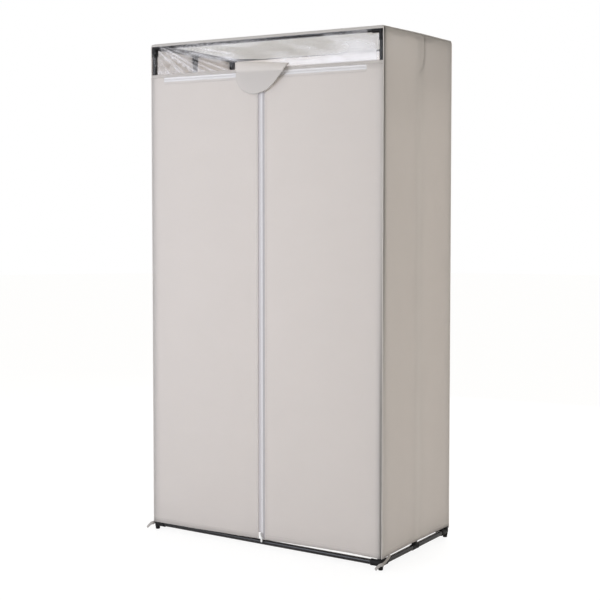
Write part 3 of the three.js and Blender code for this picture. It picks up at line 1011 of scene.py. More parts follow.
def follow_door(thing, side):
    """Bakes a piece's place into its mesh; it does not bend with its door. side is not used."""
    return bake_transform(thing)


def front_out(side):
    """Extra shape of a front cloth: folded edges along the zips, with their stitching."""
    edge, seed = (ZIP_LEFT, 2.0) if side == "left" else (ZIP_RIGHT, 3.0)

    def fold(along, away, seed):
        out = doubled(ZIP_FOLD - away, 0.5 * MM) + groove(away - ZIP_STITCH)
        return out + pucker(along, away - ZIP_FOLD, seed)

    def extra(s, t):
        out = fold(t, abs(s - edge), seed)
        if abs(s) < ZIP_END:
            below = DOOR_TOP - t
            out += fold(s, below, 4.0) + 1.1 * MM * ease(3 * MM - below, 0, 3 * MM)
        return out

    return extra


# The front's two halves: side, way outwards from the zip, the door's edge there, and hem
FRONT_HALVES = (("left", -1, ZIP_LEFT, HEM_LEFT), ("right", 1, ZIP_RIGHT, HEM_RIGHT))


# Operators, one for each group of pieces


def report_done(operator, made):
    """Ends an operator, and stops the script if it made nothing."""
    if not made:
        raise RuntimeError(f"{operator.bl_idname} made no piece")
    return {"FINISHED"}


class WARDROBE_OT_tubes(bpy.types.Operator):
    """Makes the rails and posts of the frame."""

    bl_idname = "wardrobe.tubes"
    bl_label = "Frame tubes"

    def profile(self, end, swaged):
        """Radius and height points of the wall of a tube that ends at a height, from 0 up."""
        sizes = bpy.context.scene.wardrobe_frame
        wall, rim = sizes.tube_wall, 0.2 * MM
        outer, inner = TUBE_RADIUS, TUBE_RADIUS - wall
        upper = [
            (outer, end - rim), (outer - rim, end), (inner + rim, end), (inner, end - rim),
        ]
        if not swaged:
            return [
                (inner, rim), (inner + rim, 0), (outer - rim, 0), (outer, rim), *upper,
            ]
        spigot = inner - 0.3 * MM
        bore = spigot - wall
        step = sizes.swage_length
        return [
            (bore, rim), (bore + rim, 0), (spigot - rim, 0), (spigot, rim),
            (spigot, step - 1.2 * MM), (spigot + 0.5 * MM, step - 0.3 * MM),
            (outer - 0.5 * MM, step), (outer, step + 0.5 * MM), *upper,
            (inner, step + wall + 1.2 * MM), (bore, step + wall),
        ]

    def execute(self, context):
        made = []
        for node in sorted(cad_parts):
            if not ("_rail_" in node or "post_" in node or node == "hanging_rail"):
                continue
            low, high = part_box(node)
            size = high - low
            axis = max(range(3), key=lambda i: size[i])
            bm = bmesh.new()
            lathe(bm, self.profile(size[axis], "post_upper" in node))
            start = (low + high) / 2
            start[axis] = low[axis]
            direction = [float(i == axis) for i in range(3)]
            bm.transform(Matrix.Translation(start) @ turn_to(direction))
            mark_sharp(bm)
            tube = make(f"{node}_tube", bm, ["tube"])
            made.append(fit(tube, "tube", "cover_and_frame", node))
        return report_done(self, made)


class WARDROBE_OT_fittings(bpy.types.Operator):
    """Makes the moulded corner fittings, with their feet, and the tees."""

    bl_idname = "wardrobe.fittings"
    bl_label = "Moulded fittings"

    core = 9 * MM
    reach = 32 * MM
    half = 18 * MM
    bore = TUBE_RADIUS + 0.3 * MM

    def turned(self, bm, profile, direction):
        """Adds a solid that is turned round a direction."""
        part = bmesh.new()
        lathe(part, profile, closed=False)
        part.transform(turn_to(direction))
        join(bm, part)

    def sleeve(self, bm, direction, start, end, r):
        """Adds a sleeve with a bead round its mouth."""
        bead = r + bpy.context.scene.wardrobe_frame.sleeve_bead
        self.turned(bm, [
            (0, start), (r, start), (r, end - 4.6 * MM), (bead, end - 4.0 * MM),
            (bead, end - 0.6 * MM), (r - 0.3 * MM, end), (0, end),
        ], direction)

    def drill(self, bm, direction, start, end):
        """Adds a bar that a bore is cut with."""
        self.turned(bm, [(0, start), (self.bore, start), (self.bore, end), (0, end)], direction)

    def foot(self, bm):
        """Adds a foot that stands on the floor under a corner."""
        tip, top, low = 7 * MM, 8 * MM, -RAIL_LOW
        self.turned(bm, [
            (0, low), (tip - 1.2 * MM, low), (tip - 0.3 * MM, low + 0.4 * MM),
            (tip, low + 1.4 * MM), (top - 0.2 * MM, -11 * MM), (top + MM, -8.5 * MM),
            (top + 0.4 * MM, -2 * MM), (0, -2 * MM),
        ], (0, 0, 1))

    def moulding(self, directions, through=None, foot=False, radius=SLEEVE_RADIUS):
        """One moulding at the origin: sleeves along directions, bored from their mouths."""
        solid, holes = bmesh.new(), bmesh.new()
        if through:
            for way in (1, -1):
                self.sleeve(solid, Vector(through) * way, -MM, self.half, radius)
            self.drill(holes, through, -self.half - MM, self.half + MM)
        else:
            steps = bpy.context.scene.wardrobe_frame.round_steps
            bmesh.ops.create_uvsphere(solid, u_segments=steps, v_segments=20, radius=radius)
        for direction in directions:
            self.sleeve(solid, direction, 0.0, self.reach, radius)
            self.drill(holes, direction, self.core, self.reach + MM)
        if foot:
            self.foot(solid)
        body = make("moulding", solid, [])
        cutter = make("moulding_bores", holes, [])
        cut = body.modifiers.new("Bores", "BOOLEAN")
        cut.operation, cut.solver, cut.object, cut.use_self = "DIFFERENCE", "EXACT", cutter, True
        settle(body)
        shape = body.data
        bpy.data.objects.remove(body)
        bpy.data.objects.remove(cutter)
        return shape

    def execute(self, context):
        heights = {"bottom": RAIL_LOW, "top": RAIL_TOP, "hanging": middle("hanging_rail").z}
        left, back, up, down = (-1, 0, 0), (0, 1, 0), (0, 0, 1), (0, 0, -1)
        shapes = {
            "bottom_tee": self.moulding([up], through=back, radius=SLEEVE_RADIUS - MM),
            "bottom_corner": self.moulding([left, back, up], foot=True),
            "top_corner": self.moulding([left, back, down]),
            "top_tee": self.moulding([down], through=back),
            "hanging_tee": self.moulding([left], through=up),
        }
        made = []
        for node in sorted(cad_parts):
            kind = next((kind for kind in shapes if node.startswith(kind)), None)
            if kind is None:
                continue
            place = middle(node)
            flip_x = -1 if place.x < 0 else 1
            flip_y = -1 if place.y > POST_Y / 2 else 1
            y = -flip_y * POST_Y if "corner" in kind else 0
            where = Vector((flip_x * POST_X, y, heights[kind.split("_")[0]]))
            bm = bmesh.new()
            bm.from_mesh(shapes[kind])
            bm.transform(Matrix.Translation(where) @ Matrix.Diagonal((flip_x, flip_y, 1, 1)))
            if flip_x * flip_y < 0:
                bmesh.ops.reverse_faces(bm, faces=bm.faces[:])
            mark_sharp(bm)
            fitting = make(f"{node}_moulding", bm, ["fitting"])
            made.append(fit(fitting, "fitting", "cover_and_frame", node))
        return report_done(self, made)


class WARDROBE_OT_roof(bpy.types.Operator):
    """Makes the roof cloth, and the binding that carries it over the front edge."""

    bl_idname = "wardrobe.roof"
    bl_label = "Roof"

    def drop(self, s, t):
        """How far the roof hangs below its rails: a slack middle, with folds from the corners."""
        inset = 24 * MM
        slack = max(0.0, 1 - abs(s / (HALF_WIDTH - inset)) ** 4)
        slack *= max(0.0, 1 - abs(t / (HALF_DEPTH - inset)) ** 2)
        folds = 1.6 * MM * ripple((s, t, 0), 0.09, 4.4) + 0.5 * MM * ripple((s, t, 0), 0.035, 6.1)
        for corner_x in (-POST_X, POST_X):
            for corner_y in (-POST_Y, POST_Y):
                dx, dy = s - corner_x, t - corner_y
                away = math.hypot(dx, dy)
                angle = math.atan2(abs(dy), abs(dx))
                fan = waves(angle * 5.5, corner_x * 9, corner_y * 9 + away * 1.5)
                folds += fan * 6.5 * MM * math.exp(-away / 0.22) * ease(away, 10 * MM, 70 * MM)
        sag = bpy.context.scene.wardrobe_cover.roof_sag
        return sag * slack + folds * min(1.0, 3 * slack)

    def rail_shade(self, s, t):
        """Shade where the rails show through."""
        return 0.14 * fade(min(SEAM_X - abs(s), SEAM_Y - abs(t)), 30 * MM)

    def binding_out(self, s, t):
        """How far the binding stands out: small waves, a kink near its end, and its stitching."""
        rise = t - BINDING_LOW
        wave = 0.25 * MM * waves(s / (24 * MM), t / (9 * MM), 5.0)
        kink = 2.2 * MM * bump(s, 0.402, 16 * MM) * bump(rise, 8 * MM, 9 * MM)
        return 0.55 * MM + wave + kink + groove(rise - BAND_STITCH, 0.3 * MM)

    def execute(self, context):
        roof, front = FACES["roof"], FACES["front"]
        bm = bmesh.new()
        lay(
            bm, seam_lines(POST_X, 8 * MM), seam_lines(POST_Y, 7 * MM),
            lambda s, t: roof.at(s, t, -self.drop(s, t)), shade=self.rail_shade,
        )
        cloth = make("roof_cloth", bm, ["roof"], context.scene.wardrobe_cover.cloth_thickness)
        bm = bmesh.new()
        lay(
            bm, seam_lines(POST_X, 6 * MM), even(BINDING_LOW, SEAM_TOP, 10),
            lambda s, t: front.at(s, t, self.binding_out(s, t)),
        )
        binding = make("front_top_binding", bm, ["binding"], BINDING_THICKNESS)
        for thing in (cloth, binding):
            fit(thing, "cloth", "cover_and_frame", "roof_panel")
        return report_done(self, [cloth, binding])


class WARDROBE_OT_walls(bpy.types.Operator):
    """Makes the two side cloths and the back cloth."""

    bl_idname = "wardrobe.walls"
    bl_label = "Side and back cloths"

    def execute(self, context):
        cover = context.scene.wardrobe_cover
        made = []
        for name, node, rail, hem, weight in (
            ("right", "side_panel_right", "top_rail_right", HEM_RIGHT, "cloth"),
            ("left", "side_panel_left", "top_rail_left", HEM_LEFT, "cloth"),
            ("back", "back_panel", "top_rail_rear", HEM_LEFT, "thin"),
        ):
            face = FACES[name]
            creased = name == "right"
            columns = seam_lines(
                face.half, cover.mesh_step, (-22 * MM, 34 * MM) if creased else ())
            stops = [*hem_stops(hem), *([(1.46, 4 * MM)] if creased else []), (SEAM_TOP, FINE)]
            rows = lines(stops, cover.mesh_step * (0.8 if creased else 1))
            bm = lay_wall(face, columns, rows, wall_place(face, hem))
            cloth = make(f"{node}_cloth", bm, [weight], cover.cloth_thickness)
            2 * (face.half + TURN)
            made.append(fit(cloth, "cloth", "cover_and_frame", node))
        return report_done(self, made)


class WARDROBE_OT_window(bpy.types.Operator):
    """Makes the clear strip over the doors, and the band of cloth that it is sewn to."""

    bl_idname = "wardrobe.window"
    bl_label = "Clear strip and header band"

    def film_out(self, s, t):
        """How far the clear strip stands out: long waves with sharp crests between its seams."""
        free = arc(t, FILM_LOW, FILM_HIGH) ** 0.6 * ease(POST_X - abs(s), -6 * MM, 20 * MM)
        out = 1.5 * ripple((s * 0.35, 0, t * 1.6), 0.042, 7.7)
        out += 1.3 * (1 - 2 * abs(ripple((s * 0.6 + 0.5 * t, 0, t), 0.055, 1.9)))
        out += 0.4 * ripple((s, 0.25 * s, t), 0.02, 3.3)
        return free * out * MM

    def milky(self, s, t):
        """Milky creases and painted reflections, fanning from the left end and along the strip."""
        share = (t - FILM_LOW) / (FILM_HIGH - FILM_LOW)
        fan = math.atan2(FILM_HIGH + 30 * MM - t, s + HALF_WIDTH + 20 * MM)
        rays = 2.0 * max(0.0, waves(fan * 75, 3.0, 4 * s) - 0.05) * ease(-s, 0.0, 0.2)
        rays += 1.2 * max(0.0, waves(fan * 28, 7.0, 2 * s) - 0.1) * ease(-s, 0.1, 0.3)
        along = 0.4 * max(0.0, ripple((s * 0.3, 0, t * 1.2), 0.03, 9.1) - 0.1)
        slant = 0.9 * max(0.0, ripple((0.4 * s + 1.6 * t, 0, 0.3 * s), 0.05, 12.0))
        slant *= ease(s, -0.05, 0.2)
        # Painted reflections low on the right, and near the right end
        low = 0.9 * bump(share, 0.14, 0.3) * (0.6 + 0.4 * ripple((s, 0, 0), 0.05, 2.0))
        low = max(0.0, low * ease(s, 0, 0.1))
        end = 0.7 * ease(s, 0.2, 0.34) * ease(POST_X - 9 * MM - s, 0, 5 * MM)
        end *= ease(0.85 - share, 0, 0.5)
        gleam = 1.5 * bump(s, POST_X - 6 * MM, 2.4 * MM)
        gleam = max(0.0, gleam * (0.6 + 0.6 * ripple((0, 0, t), 0.012, 4.0)))
        dull = 0.1 * ease(-s, 0.2, 0.42) * ease(share, 0, 0.9)
        milk = rays + along + slant + low + end + gleam + dull + self.rail_haze(s, share)
        clear = self.clearness(s, share)
        return milk * (1 - clear) - 0.5 * clear

    def rail_haze(self, s, share):
        """Painted reflection in front of the top rail, and where the left rail meets it."""
        front_rail = 0.45 * bump(share, 0.90, 0.05) * ease(0.38 - s, 0, 0.05)
        left_share = between([(-0.27, 0.67), (-0.14, 0.40), (-0.06, 0.34)], s)
        left_rail = 0.6 * bump(share, left_share, 0.12)
        return front_rail + left_rail * ease(s, -0.31, -0.25) * ease(-0.07 - s, 0, 0.03)

    def clearness(self, s, share):
        """Where the strip is clearer: in front of the posts, and across its top."""
        clear = ease(s, POST_X - 5 * MM, POST_X - MM) + 0.7 * ease(-s, 0.398, 0.406)
        top = max(0.17, 0.45 * ease(-s, 0.30, 0.34), ease(s, 0.378, 0.386))
        return min(1.0, clear + top * ease(share, 0.82, 0.87))

    def band_out(self, s, t):
        """How far the header band stands out: small waves and two rows of stitching."""
        out = 0.2 * MM * waves(s / (30 * MM), t / (8 * MM), 2.0)
        for row in (BAND_LOW + BAND_STITCH, BAND_HIGH - BAND_STITCH):
            out += groove(t - row, 0.25 * MM)
        return out

    def execute(self, context):
        front = FACES["front"]
        bm = bmesh.new()
        lay(
            bm, seam_lines(POST_X, 4 * MM), even(FILM_LOW, FILM_TOP, 31),
            lambda s, t: front.at(s, t, self.film_out(s, t)), shade=self.milky,
        )
        film = make("window_film", bm, ["film"], FILM_THICKNESS)
        fit(film, "clear", "cover_and_frame", "front_window")
        bm = bmesh.new()
        lay(
            bm, seam_lines(POST_X, 6 * MM), even(BAND_LOW, FILM_LOW, 10),
            lambda s, t: front.at(s, t, self.band_out(s, t)), shade=lambda s, t: 0.16,
        )
        cover = context.scene.wardrobe_cover
        header = make("header_band_cloth", bm, ["cloth"], cover.cloth_thickness)
        fit(header, "cloth", "cover_and_frame", "header_band")
        return report_done(self, [film, header])


class WARDROBE_OT_doors(bpy.types.Operator):
    """Makes the two front cloths, each a fixed strip at the corner and its door in one piece."""

    bl_idname = "wardrobe.doors"
    bl_label = "Front cloths"

    def execute(self, context):
        cover = context.scene.wardrobe_cover
        face = FACES["front"]
        made = []
        for side, way, edge, hem in FRONT_HALVES:
            columns = lines([
                (-SEAM_X, FINE), (-POST_X, FINE), (-ZIP_END, 1.5 * MM), (-FOLD_END, 3 * MM),
                (-abs(edge) - ZIP_FOLD, 1.2 * MM), (-abs(edge) - ZIP_STITCH, MM),
                (-abs(edge), 1.5 * MM),
            ], cover.mesh_step)
            if way > 0:
                columns = [-place for place in reversed(columns)]
            rows = lines([
                *hem_stops(hem), (DOOR_TOP - ZIP_FOLD, 1.2 * MM), (DOOR_TOP - ZIP_STITCH, MM),
                (DOOR_TOP, MM), (STILE_TOP, 1.5 * MM),
            ], cover.mesh_step)
            bm = lay_wall(
                face, columns, rows, wall_place(face, hem, front_out(side)),
                keep=lambda s, t: abs(s) > ZIP_END or t < DOOR_TOP,
            )
            cloth = make(f"front_cloth_{side}", bm, ["cloth"], cover.cloth_thickness)
            made.append(fit(cloth, "cloth", None, f"stile_{side}", f"door_{side}"))
            follow_door(cloth, side)
        return report_done(self, made)


class WARDROBE_OT_seams(bpy.types.Operator):
    """Makes the raised seams at the cover's edges."""

    bl_idname = "wardrobe.seams"
    bl_label = "Raised seams"

    def upright(self, face, end):
        """Path up a corner, with small waves."""

        def path(t):
            s = end * (face.half + TURN)
            out = face.turned(s, t)
            side = out.cross(face.up).normalized()
            wave = 0.5 * MM * waves(t / (70 * MM), end * 3.0, len(face.name))
            wave += 0.2 * MM * waves(t / (11 * MM), end * 5.0, 2.0)
            return face.at(s, t, 0.9 * MM) + side * wave, side, out

        return path

    def level(self, along_x, end):
        """Path along an edge of the roof, with small waves and a rise in the middle of a side."""
        roof = FACES["roof"]

        def path(d):
            s, t = (d, end * SEAM_Y) if along_x else (end * SEAM_X, d)
            out = roof.turned(s, t)
            side = out.cross(roof.across if along_x else roof.up).normalized()
            wave = 0.25 * MM * waves(d / (14 * MM), end * 4.0, 7.0 + along_x)
            rise = 0.0 if along_x else 1.6 * MM * arc(d, -0.2, 0.2) ** 2
            return roof.at(s, t, 0.7 * MM + wave + rise), side, out

        return path

    def seam(self, name, path, along, width, height, kind):
        """One raised seam along a path."""
        bm = bmesh.new()
        cord(bm, path, along, width, height)
        cap_open(bm)
        return fit(make(name, bm, [kind]), "cloth", "cover_and_frame")

    def execute(self, context):
        made = []
        for name, face, end in (
            ("front_right", "front", 1), ("front_left", "front", -1),
            ("rear_right", "back", -1), ("rear_left", "back", 1),
        ):
            face = FACES[face]
            along = even(hem_height(face, end * SEAM_X), SEAM_TOP, 330)
            made.append(self.seam(
                f"corner_seam_{name}", self.upright(face, end), along, 1.1 * MM, 1.5 * MM, "welt"))
        for name, along_x, end in (
            ("front", True, -1), ("rear", True, 1), ("left", False, -1), ("right", False, 1),
        ):
            reach, count = (SEAM_X, 260) if along_x else (SEAM_Y, 140)
            made.append(self.seam(
                f"roof_seam_{name}", self.level(along_x, end), even(-reach, reach, count),
                1.2 * MM, 1.2 * MM, "binding"))
        return report_done(self, made)


class WARDROBE_OT_stitching(bpy.types.Operator):
    """Sews the hems and the edges along the zips."""

    bl_idname = "wardrobe.stitching"
    bl_label = "Stitching"

    def row(self, bm, face, place, spot, start, end, lift=0.1 * MM):
        """Row of stitches on a face's cloth, through the places that spot(d) gives."""

        def path(d):
            out = face.turned(*spot(d))
            along = place(*spot(d + MM)) - place(*spot(d - MM))
            return place(*spot(d)) + out * lift, along.normalized(), out

        stitch(bm, path, start, end)

    def execute(self, context):
        hem_row = context.scene.wardrobe_cover.hem_depth - HEM_STITCH
        made = []

        def sewn(name, bm, body):
            made.append(fit(make(name, bm, ["thread"]), "cloth", body))

        for name, hem in (("right", HEM_RIGHT), ("left", HEM_LEFT), ("back", HEM_LEFT)):
            face = FACES[name]
            bm = bmesh.new()
            reach = face.half + TURN - 2 * MM
            self.row(
                bm, face, wall_place(face, hem), lambda s: (s, hem + hem_row), -reach, reach)
            sewn(f"hem_stitching_{name}", bm, "cover_and_frame")
        face = FACES["front"]
        for side, way, edge, hem in FRONT_HALVES:
            place = wall_place(face, hem, front_out(side))
            bm = bmesh.new()
            ends = sorted((way * (SEAM_X - 2 * MM), edge + way * 2 * MM))
            self.row(bm, face, place, lambda s: (s, hem + hem_row), *ends)
            self.row(
                bm, face, place, lambda t: (edge + way * ZIP_STITCH, t), hem + 2 * MM,
                DOOR_TOP - 8 * MM)
            ends = sorted((way * (ZIP_END - 3 * MM), edge + way * 8 * MM))
            self.row(bm, face, place, lambda s: (s, DOOR_TOP - ZIP_STITCH), *ends)
            sewn(f"door_stitching_{side}", bm, None)
            follow_door(made[-1], side)
        bm = bmesh.new()
        end = SEAM_X - 2 * MM
        for height, lift in (
            (BAND_LOW + BAND_STITCH, 0), (BAND_HIGH - BAND_STITCH, 0),
            (FILM_HIGH + BAND_STITCH, 0.75 * MM),
        ):
            self.row(bm, face, face.at, lambda s: (s, height), -end, end, lift)
        sewn("band_stitching", bm, "cover_and_frame")
        return report_done(self, made)


class WARDROBE_OT_zips(bpy.types.Operator):
    """Makes the zips: woven tapes with a coil along their edges."""

    bl_idname = "wardrobe.zips"
    bl_label = "Zips"

    out = Vector((0, -1, 0))
    # Distances from a zip's line, in mm: where its coil ends, and its tape's mesh lines
    coil_end = 3.4
    columns = (0.5, 1.6, 2.6, 3.4, 4.2, 4.8, 5.6, 6.6, 7.5, 8.4, 10.5, 13, 16)
    # Along a tooth, in mm: distance from the zip's line, half width and half depth
    tooth = ((3.7, 0.86, 0.8), (2.2, 0.92, 1.1), (0.6, 0.78, 1.15), (-0.5, 0.45, 0.8))

    def half(self, name, node, side, along, start, end, tape, shade=0.0):
        """One half of a zip. side is the way its tape goes from the zip's line, and along is the
        way the zip runs."""
        thickness = bpy.context.scene.wardrobe_zips.tape_thickness
        side, along = Vector(side), Vector(along)
        line = Vector((ZIP_X, middle(node).y, 0) if along.z else (0, middle(node).y, ZIP_Z))

        def place(a, b):
            ridge = 0.35 * bump(a, 4.2 * MM, 1.4 * MM) - 0.12 * bump(a, 7.5 * MM, 1.2 * MM)
            wave = 0.18 * waves(b / (25 * MM), a / (12 * MM), 6.0) * ease(a, 6 * MM, 12 * MM)
            return line + side * a + along * b + self.out * ((ridge + wave) * MM + thickness / 2)

        bm = bmesh.new()
        lay(
            bm, [column * MM for column in self.columns],
            lines([(start, 6 * MM), (end, 6 * MM)], 9 * MM), place,
            shade=lambda a, b: shade * ease(a, 3 * MM, 4 * MM),
        )
        for face in bm.faces:
            if (face.calc_center_median() - line).dot(side) < self.coil_end * MM:
                face.material_index = 1
        if side.cross(along).dot(self.out) < 0:
            bmesh.ops.reverse_faces(bm, faces=bm.faces[:])
        piece = make(name, bm, [tape, "coil"], thickness)
        bm = bmesh.new()
        bm.from_mesh(piece.data)
        self.coil(bm, line, side, along, start, end)
        bm.to_mesh(piece.data)
        bm.free()
        return fit(piece, "zip", None, node)

    def coil(self, bm, line, side, along, start, end):
        """Turns of the coil: one bent tooth, repeated along the zip."""
        pitch = bpy.context.scene.wardrobe_zips.tooth_pitch
        phase = 0.0 if side.x + side.z < 0 else pitch / 2
        tooth = bmesh.new()
        root, wide, deep = self.tooth[0]
        ring = bmesh.ops.create_circle(tooth, cap_ends=True, segments=6, radius=1)["verts"]
        for vert in ring:
            vert.co = Vector((vert.co.x * wide, vert.co.y * deep, root)) * MM
        cap = tooth.faces[:]
        for distance, wide, deep in self.tooth[1:]:
            cap = extrude(tooth, cap, (0, 0, 0))
            verts = cap[0].verts[:]
            size_x, size_y = (max(abs(vert.co[i]) for vert in verts) for i in (0, 1))
            for vert in verts:
                x, y = vert.co.x / size_x * wide, vert.co.y / size_y * deep
                vert.co = Vector((x, y, distance)) * MM
        bmesh.ops.recalc_face_normals(tooth, faces=tooth.faces[:])
        for face in tooth.faces:
            face.smooth = True
            face.material_index = 1
        turn = Matrix((along, self.out, side)).transposed().to_4x4()
        tooth.transform(Matrix.Translation(line + along * (start + phase + 0.5 * MM)) @ turn)
        if turn.determinant() < 0:
            bmesh.ops.reverse_faces(tooth, faces=tooth.faces[:])
        repeat(tooth, along * pitch, int((end - start - phase - MM) / pitch))
        join(bm, tooth)

    def execute(self, context):
        up, across = (0, 0, 1), (1, 0, 0)
        made = []
        # Painted light on the left tape, and painted shade on the right one
        for side, way, shade in (("left", -1, -0.2), ("right", 1, 0.12)):
            node = f"centre_zip_{side}"
            low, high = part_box(node)
            zip_half = self.half(
                f"{node}_half", node, (way, 0, 0), up, low.z, high.z, "tape", shade)
            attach(zip_half, f"{side}_door")
            made.append(zip_half)
        upper = self.half(
            "top_zip_upper_half", "top_zip_upper", up, across, -ZIP_END, ZIP_END, "white_tape")
        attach(upper, "cover_and_frame")
        made.append(upper)
        for side, way in (("left", -1), ("right", 1)):
            node = f"top_zip_lower_{side}"
            low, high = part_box(node)
            start, end = (-ZIP_END, high.x) if way < 0 else (low.x, ZIP_END)
            lower = self.half(
                f"top_zip_lower_half_{side}", node, (0, 0, -1), across, start, end, "white_tape")
            follow_door(lower, side)
            made.append(lower)
        return report_done(self, made)


class WARDROBE_OT_sliders(bpy.types.Operator):
    """Makes the three zip sliders and their pulls."""

    bl_idname = "wardrobe.sliders"
    bl_label = "Sliders and pulls"

    # Half outline of a slider's plate, in mm to the side and up
    outline = (
        (0, 4.9), (1.6, 5.7), (3.4, 5.9), (4.8, 5.0), (5.2, 3.2), (4.9, -1.0), (4.3, -4.6),
        (3.0, -5.9), (0, -6.0),
    )
    plate_out = 3.2 * MM
    plate_thickness = 1.6 * MM
    # The pull: top edge, length, half width and the eye's place, all from the hinge, and thickness
    pull_top = 0.6 * MM
    pull_length = 24.0 * MM
    pull_half = 2.9
    eye = -3.3 * MM
    pull_thickness = 1.1 * MM

    def plate(self, bm, way):
        """One plate of a slider, with flanges down its sides that face the other plate."""
        points = [*self.outline, *[(-x, z) for x, z in reversed(self.outline[1:-1])]]
        outer = bm.faces.new([
            bm.verts.new((x * MM, way * self.plate_out, z * MM)) for x, z in points
        ])
        inner = extrude(bm, [outer], (0, -way * self.plate_thickness, 0))
        ring = bmesh.ops.inset_region(bm, faces=inner, thickness=MM)["faces"]
        middles = [(face, face.calc_center_median()) for face in ring]
        flanks = [face for face, at in middles if abs(at.x) > 3.6 * MM and at.z < 3 * MM]
        extrude(bm, flanks, (0, -way * 0.9 * MM, 0))

    def arch(self, d):
        """Path of the bridge over a slider that the pull hangs in."""
        angle = math.pi * d
        point = Vector((0, -3.0 - 2.9 * math.sin(angle) ** 0.7, -3.7 * math.cos(angle))) * MM
        tangent = Vector((0, -math.cos(angle), math.sin(angle))).normalized()
        side = Vector((1, 0, 0))
        return point, side, tangent.cross(side)

    def slider(self):
        """A slider's body: two plates, the post between them and the bridge."""
        bm = bmesh.new()
        for way in (-1, 1):
            self.plate(bm, way)
        bmesh.ops.recalc_face_normals(bm, faces=bm.faces[:])
        soften(bm, [
            edge for edge in bm.edges if edge.is_manifold and edge.calc_face_angle(0) > 0.9
            and all(abs(vert.co.y) > self.plate_out - 0.1 * MM for vert in edge.verts)
        ], 0.45 * MM, 3)
        bmesh.ops.create_cone(
            bm, cap_ends=True, segments=12, radius1=0.9 * MM, radius2=0.7 * MM, depth=3.4 * MM,
            matrix=Matrix.Translation((0, 0, 3.4 * MM)) @ Matrix.Rotation(QUARTER, 4, "X"),
        )
        cord(bm, self.arch, even(0.0, 1.0, 16), 1.0 * MM, 0.55 * MM, 10)
        cap_open(bm)
        mark_sharp(bm, 40)
        return bm

    def pull(self):
        """Pull that hangs from its eye at the origin: a tab that widens to a rounded end."""

        def squared(value, power):
            return math.copysign(abs(value) ** power, value)

        outer, inner = [], []
        for angle in even(0, math.tau, 32)[:-1]:
            x, z = math.sin(angle), math.cos(angle)
            share = (1 - z) / 2
            half = (self.pull_half + 0.6 * ease(share, 0.2, 0.9)) * MM
            fall = (share / 0.08) ** 0.8 * 1.9 * MM if share < 0.08 else share * self.pull_length
            outer.append((squared(x, 0.35) * half, self.pull_top - fall))
            inner.append((squared(x, 0.6) * 1.55 * MM, self.eye + squared(z, 0.6) * 2.6 * MM))
        bm = bmesh.new()
        loops = []
        for points in (outer, inner):
            verts = [bm.verts.new((x, self.pull_thickness / 2, z)) for x, z in points]
            loops += [bm.edges.new(pair) for pair in zip(verts, [*verts[1:], verts[0]])]
        bmesh.ops.bridge_loops(bm, edges=loops)
        extrude(bm, bm.faces[:], (0, -self.pull_thickness, 0))
        bmesh.ops.recalc_face_normals(bm, faces=bm.faces[:])
        soften(bm, [
            edge for edge in bm.edges if edge.is_manifold and edge.calc_face_angle(0) > 1.0
        ], 0.22 * MM, 2)
        bm.normal_update()
        mark_sharp(bm, 40)
        return bm

    def execute(self, context):
        made = []
        for name, body, turn in (
            ("centre_zip", "centre", 0.0), ("top_zip_left", "top_left", QUARTER),
            ("top_zip_right", "top_right", -QUARTER),
        ):
            where = middle(f"{name}_slider")
            for shape, y, part, piece, kind in (
                (self.slider, ZIP_Y, "slider", "slider_body", "slider_body"),
                (self.pull, middle(f"{name}_pull").y, "pull", "pull_tab", "slider"),
            ):
                where.y = y
                bm = shape()
                bm.transform(Matrix.Translation(where) @ Matrix.Rotation(turn, 4, "Y"))
                thing = make(f"{name}_{piece}", bm, [kind])
                made.append(fit(thing, "slider", f"{body}_{part}", f"{name}_{part}"))
        return report_done(self, made)


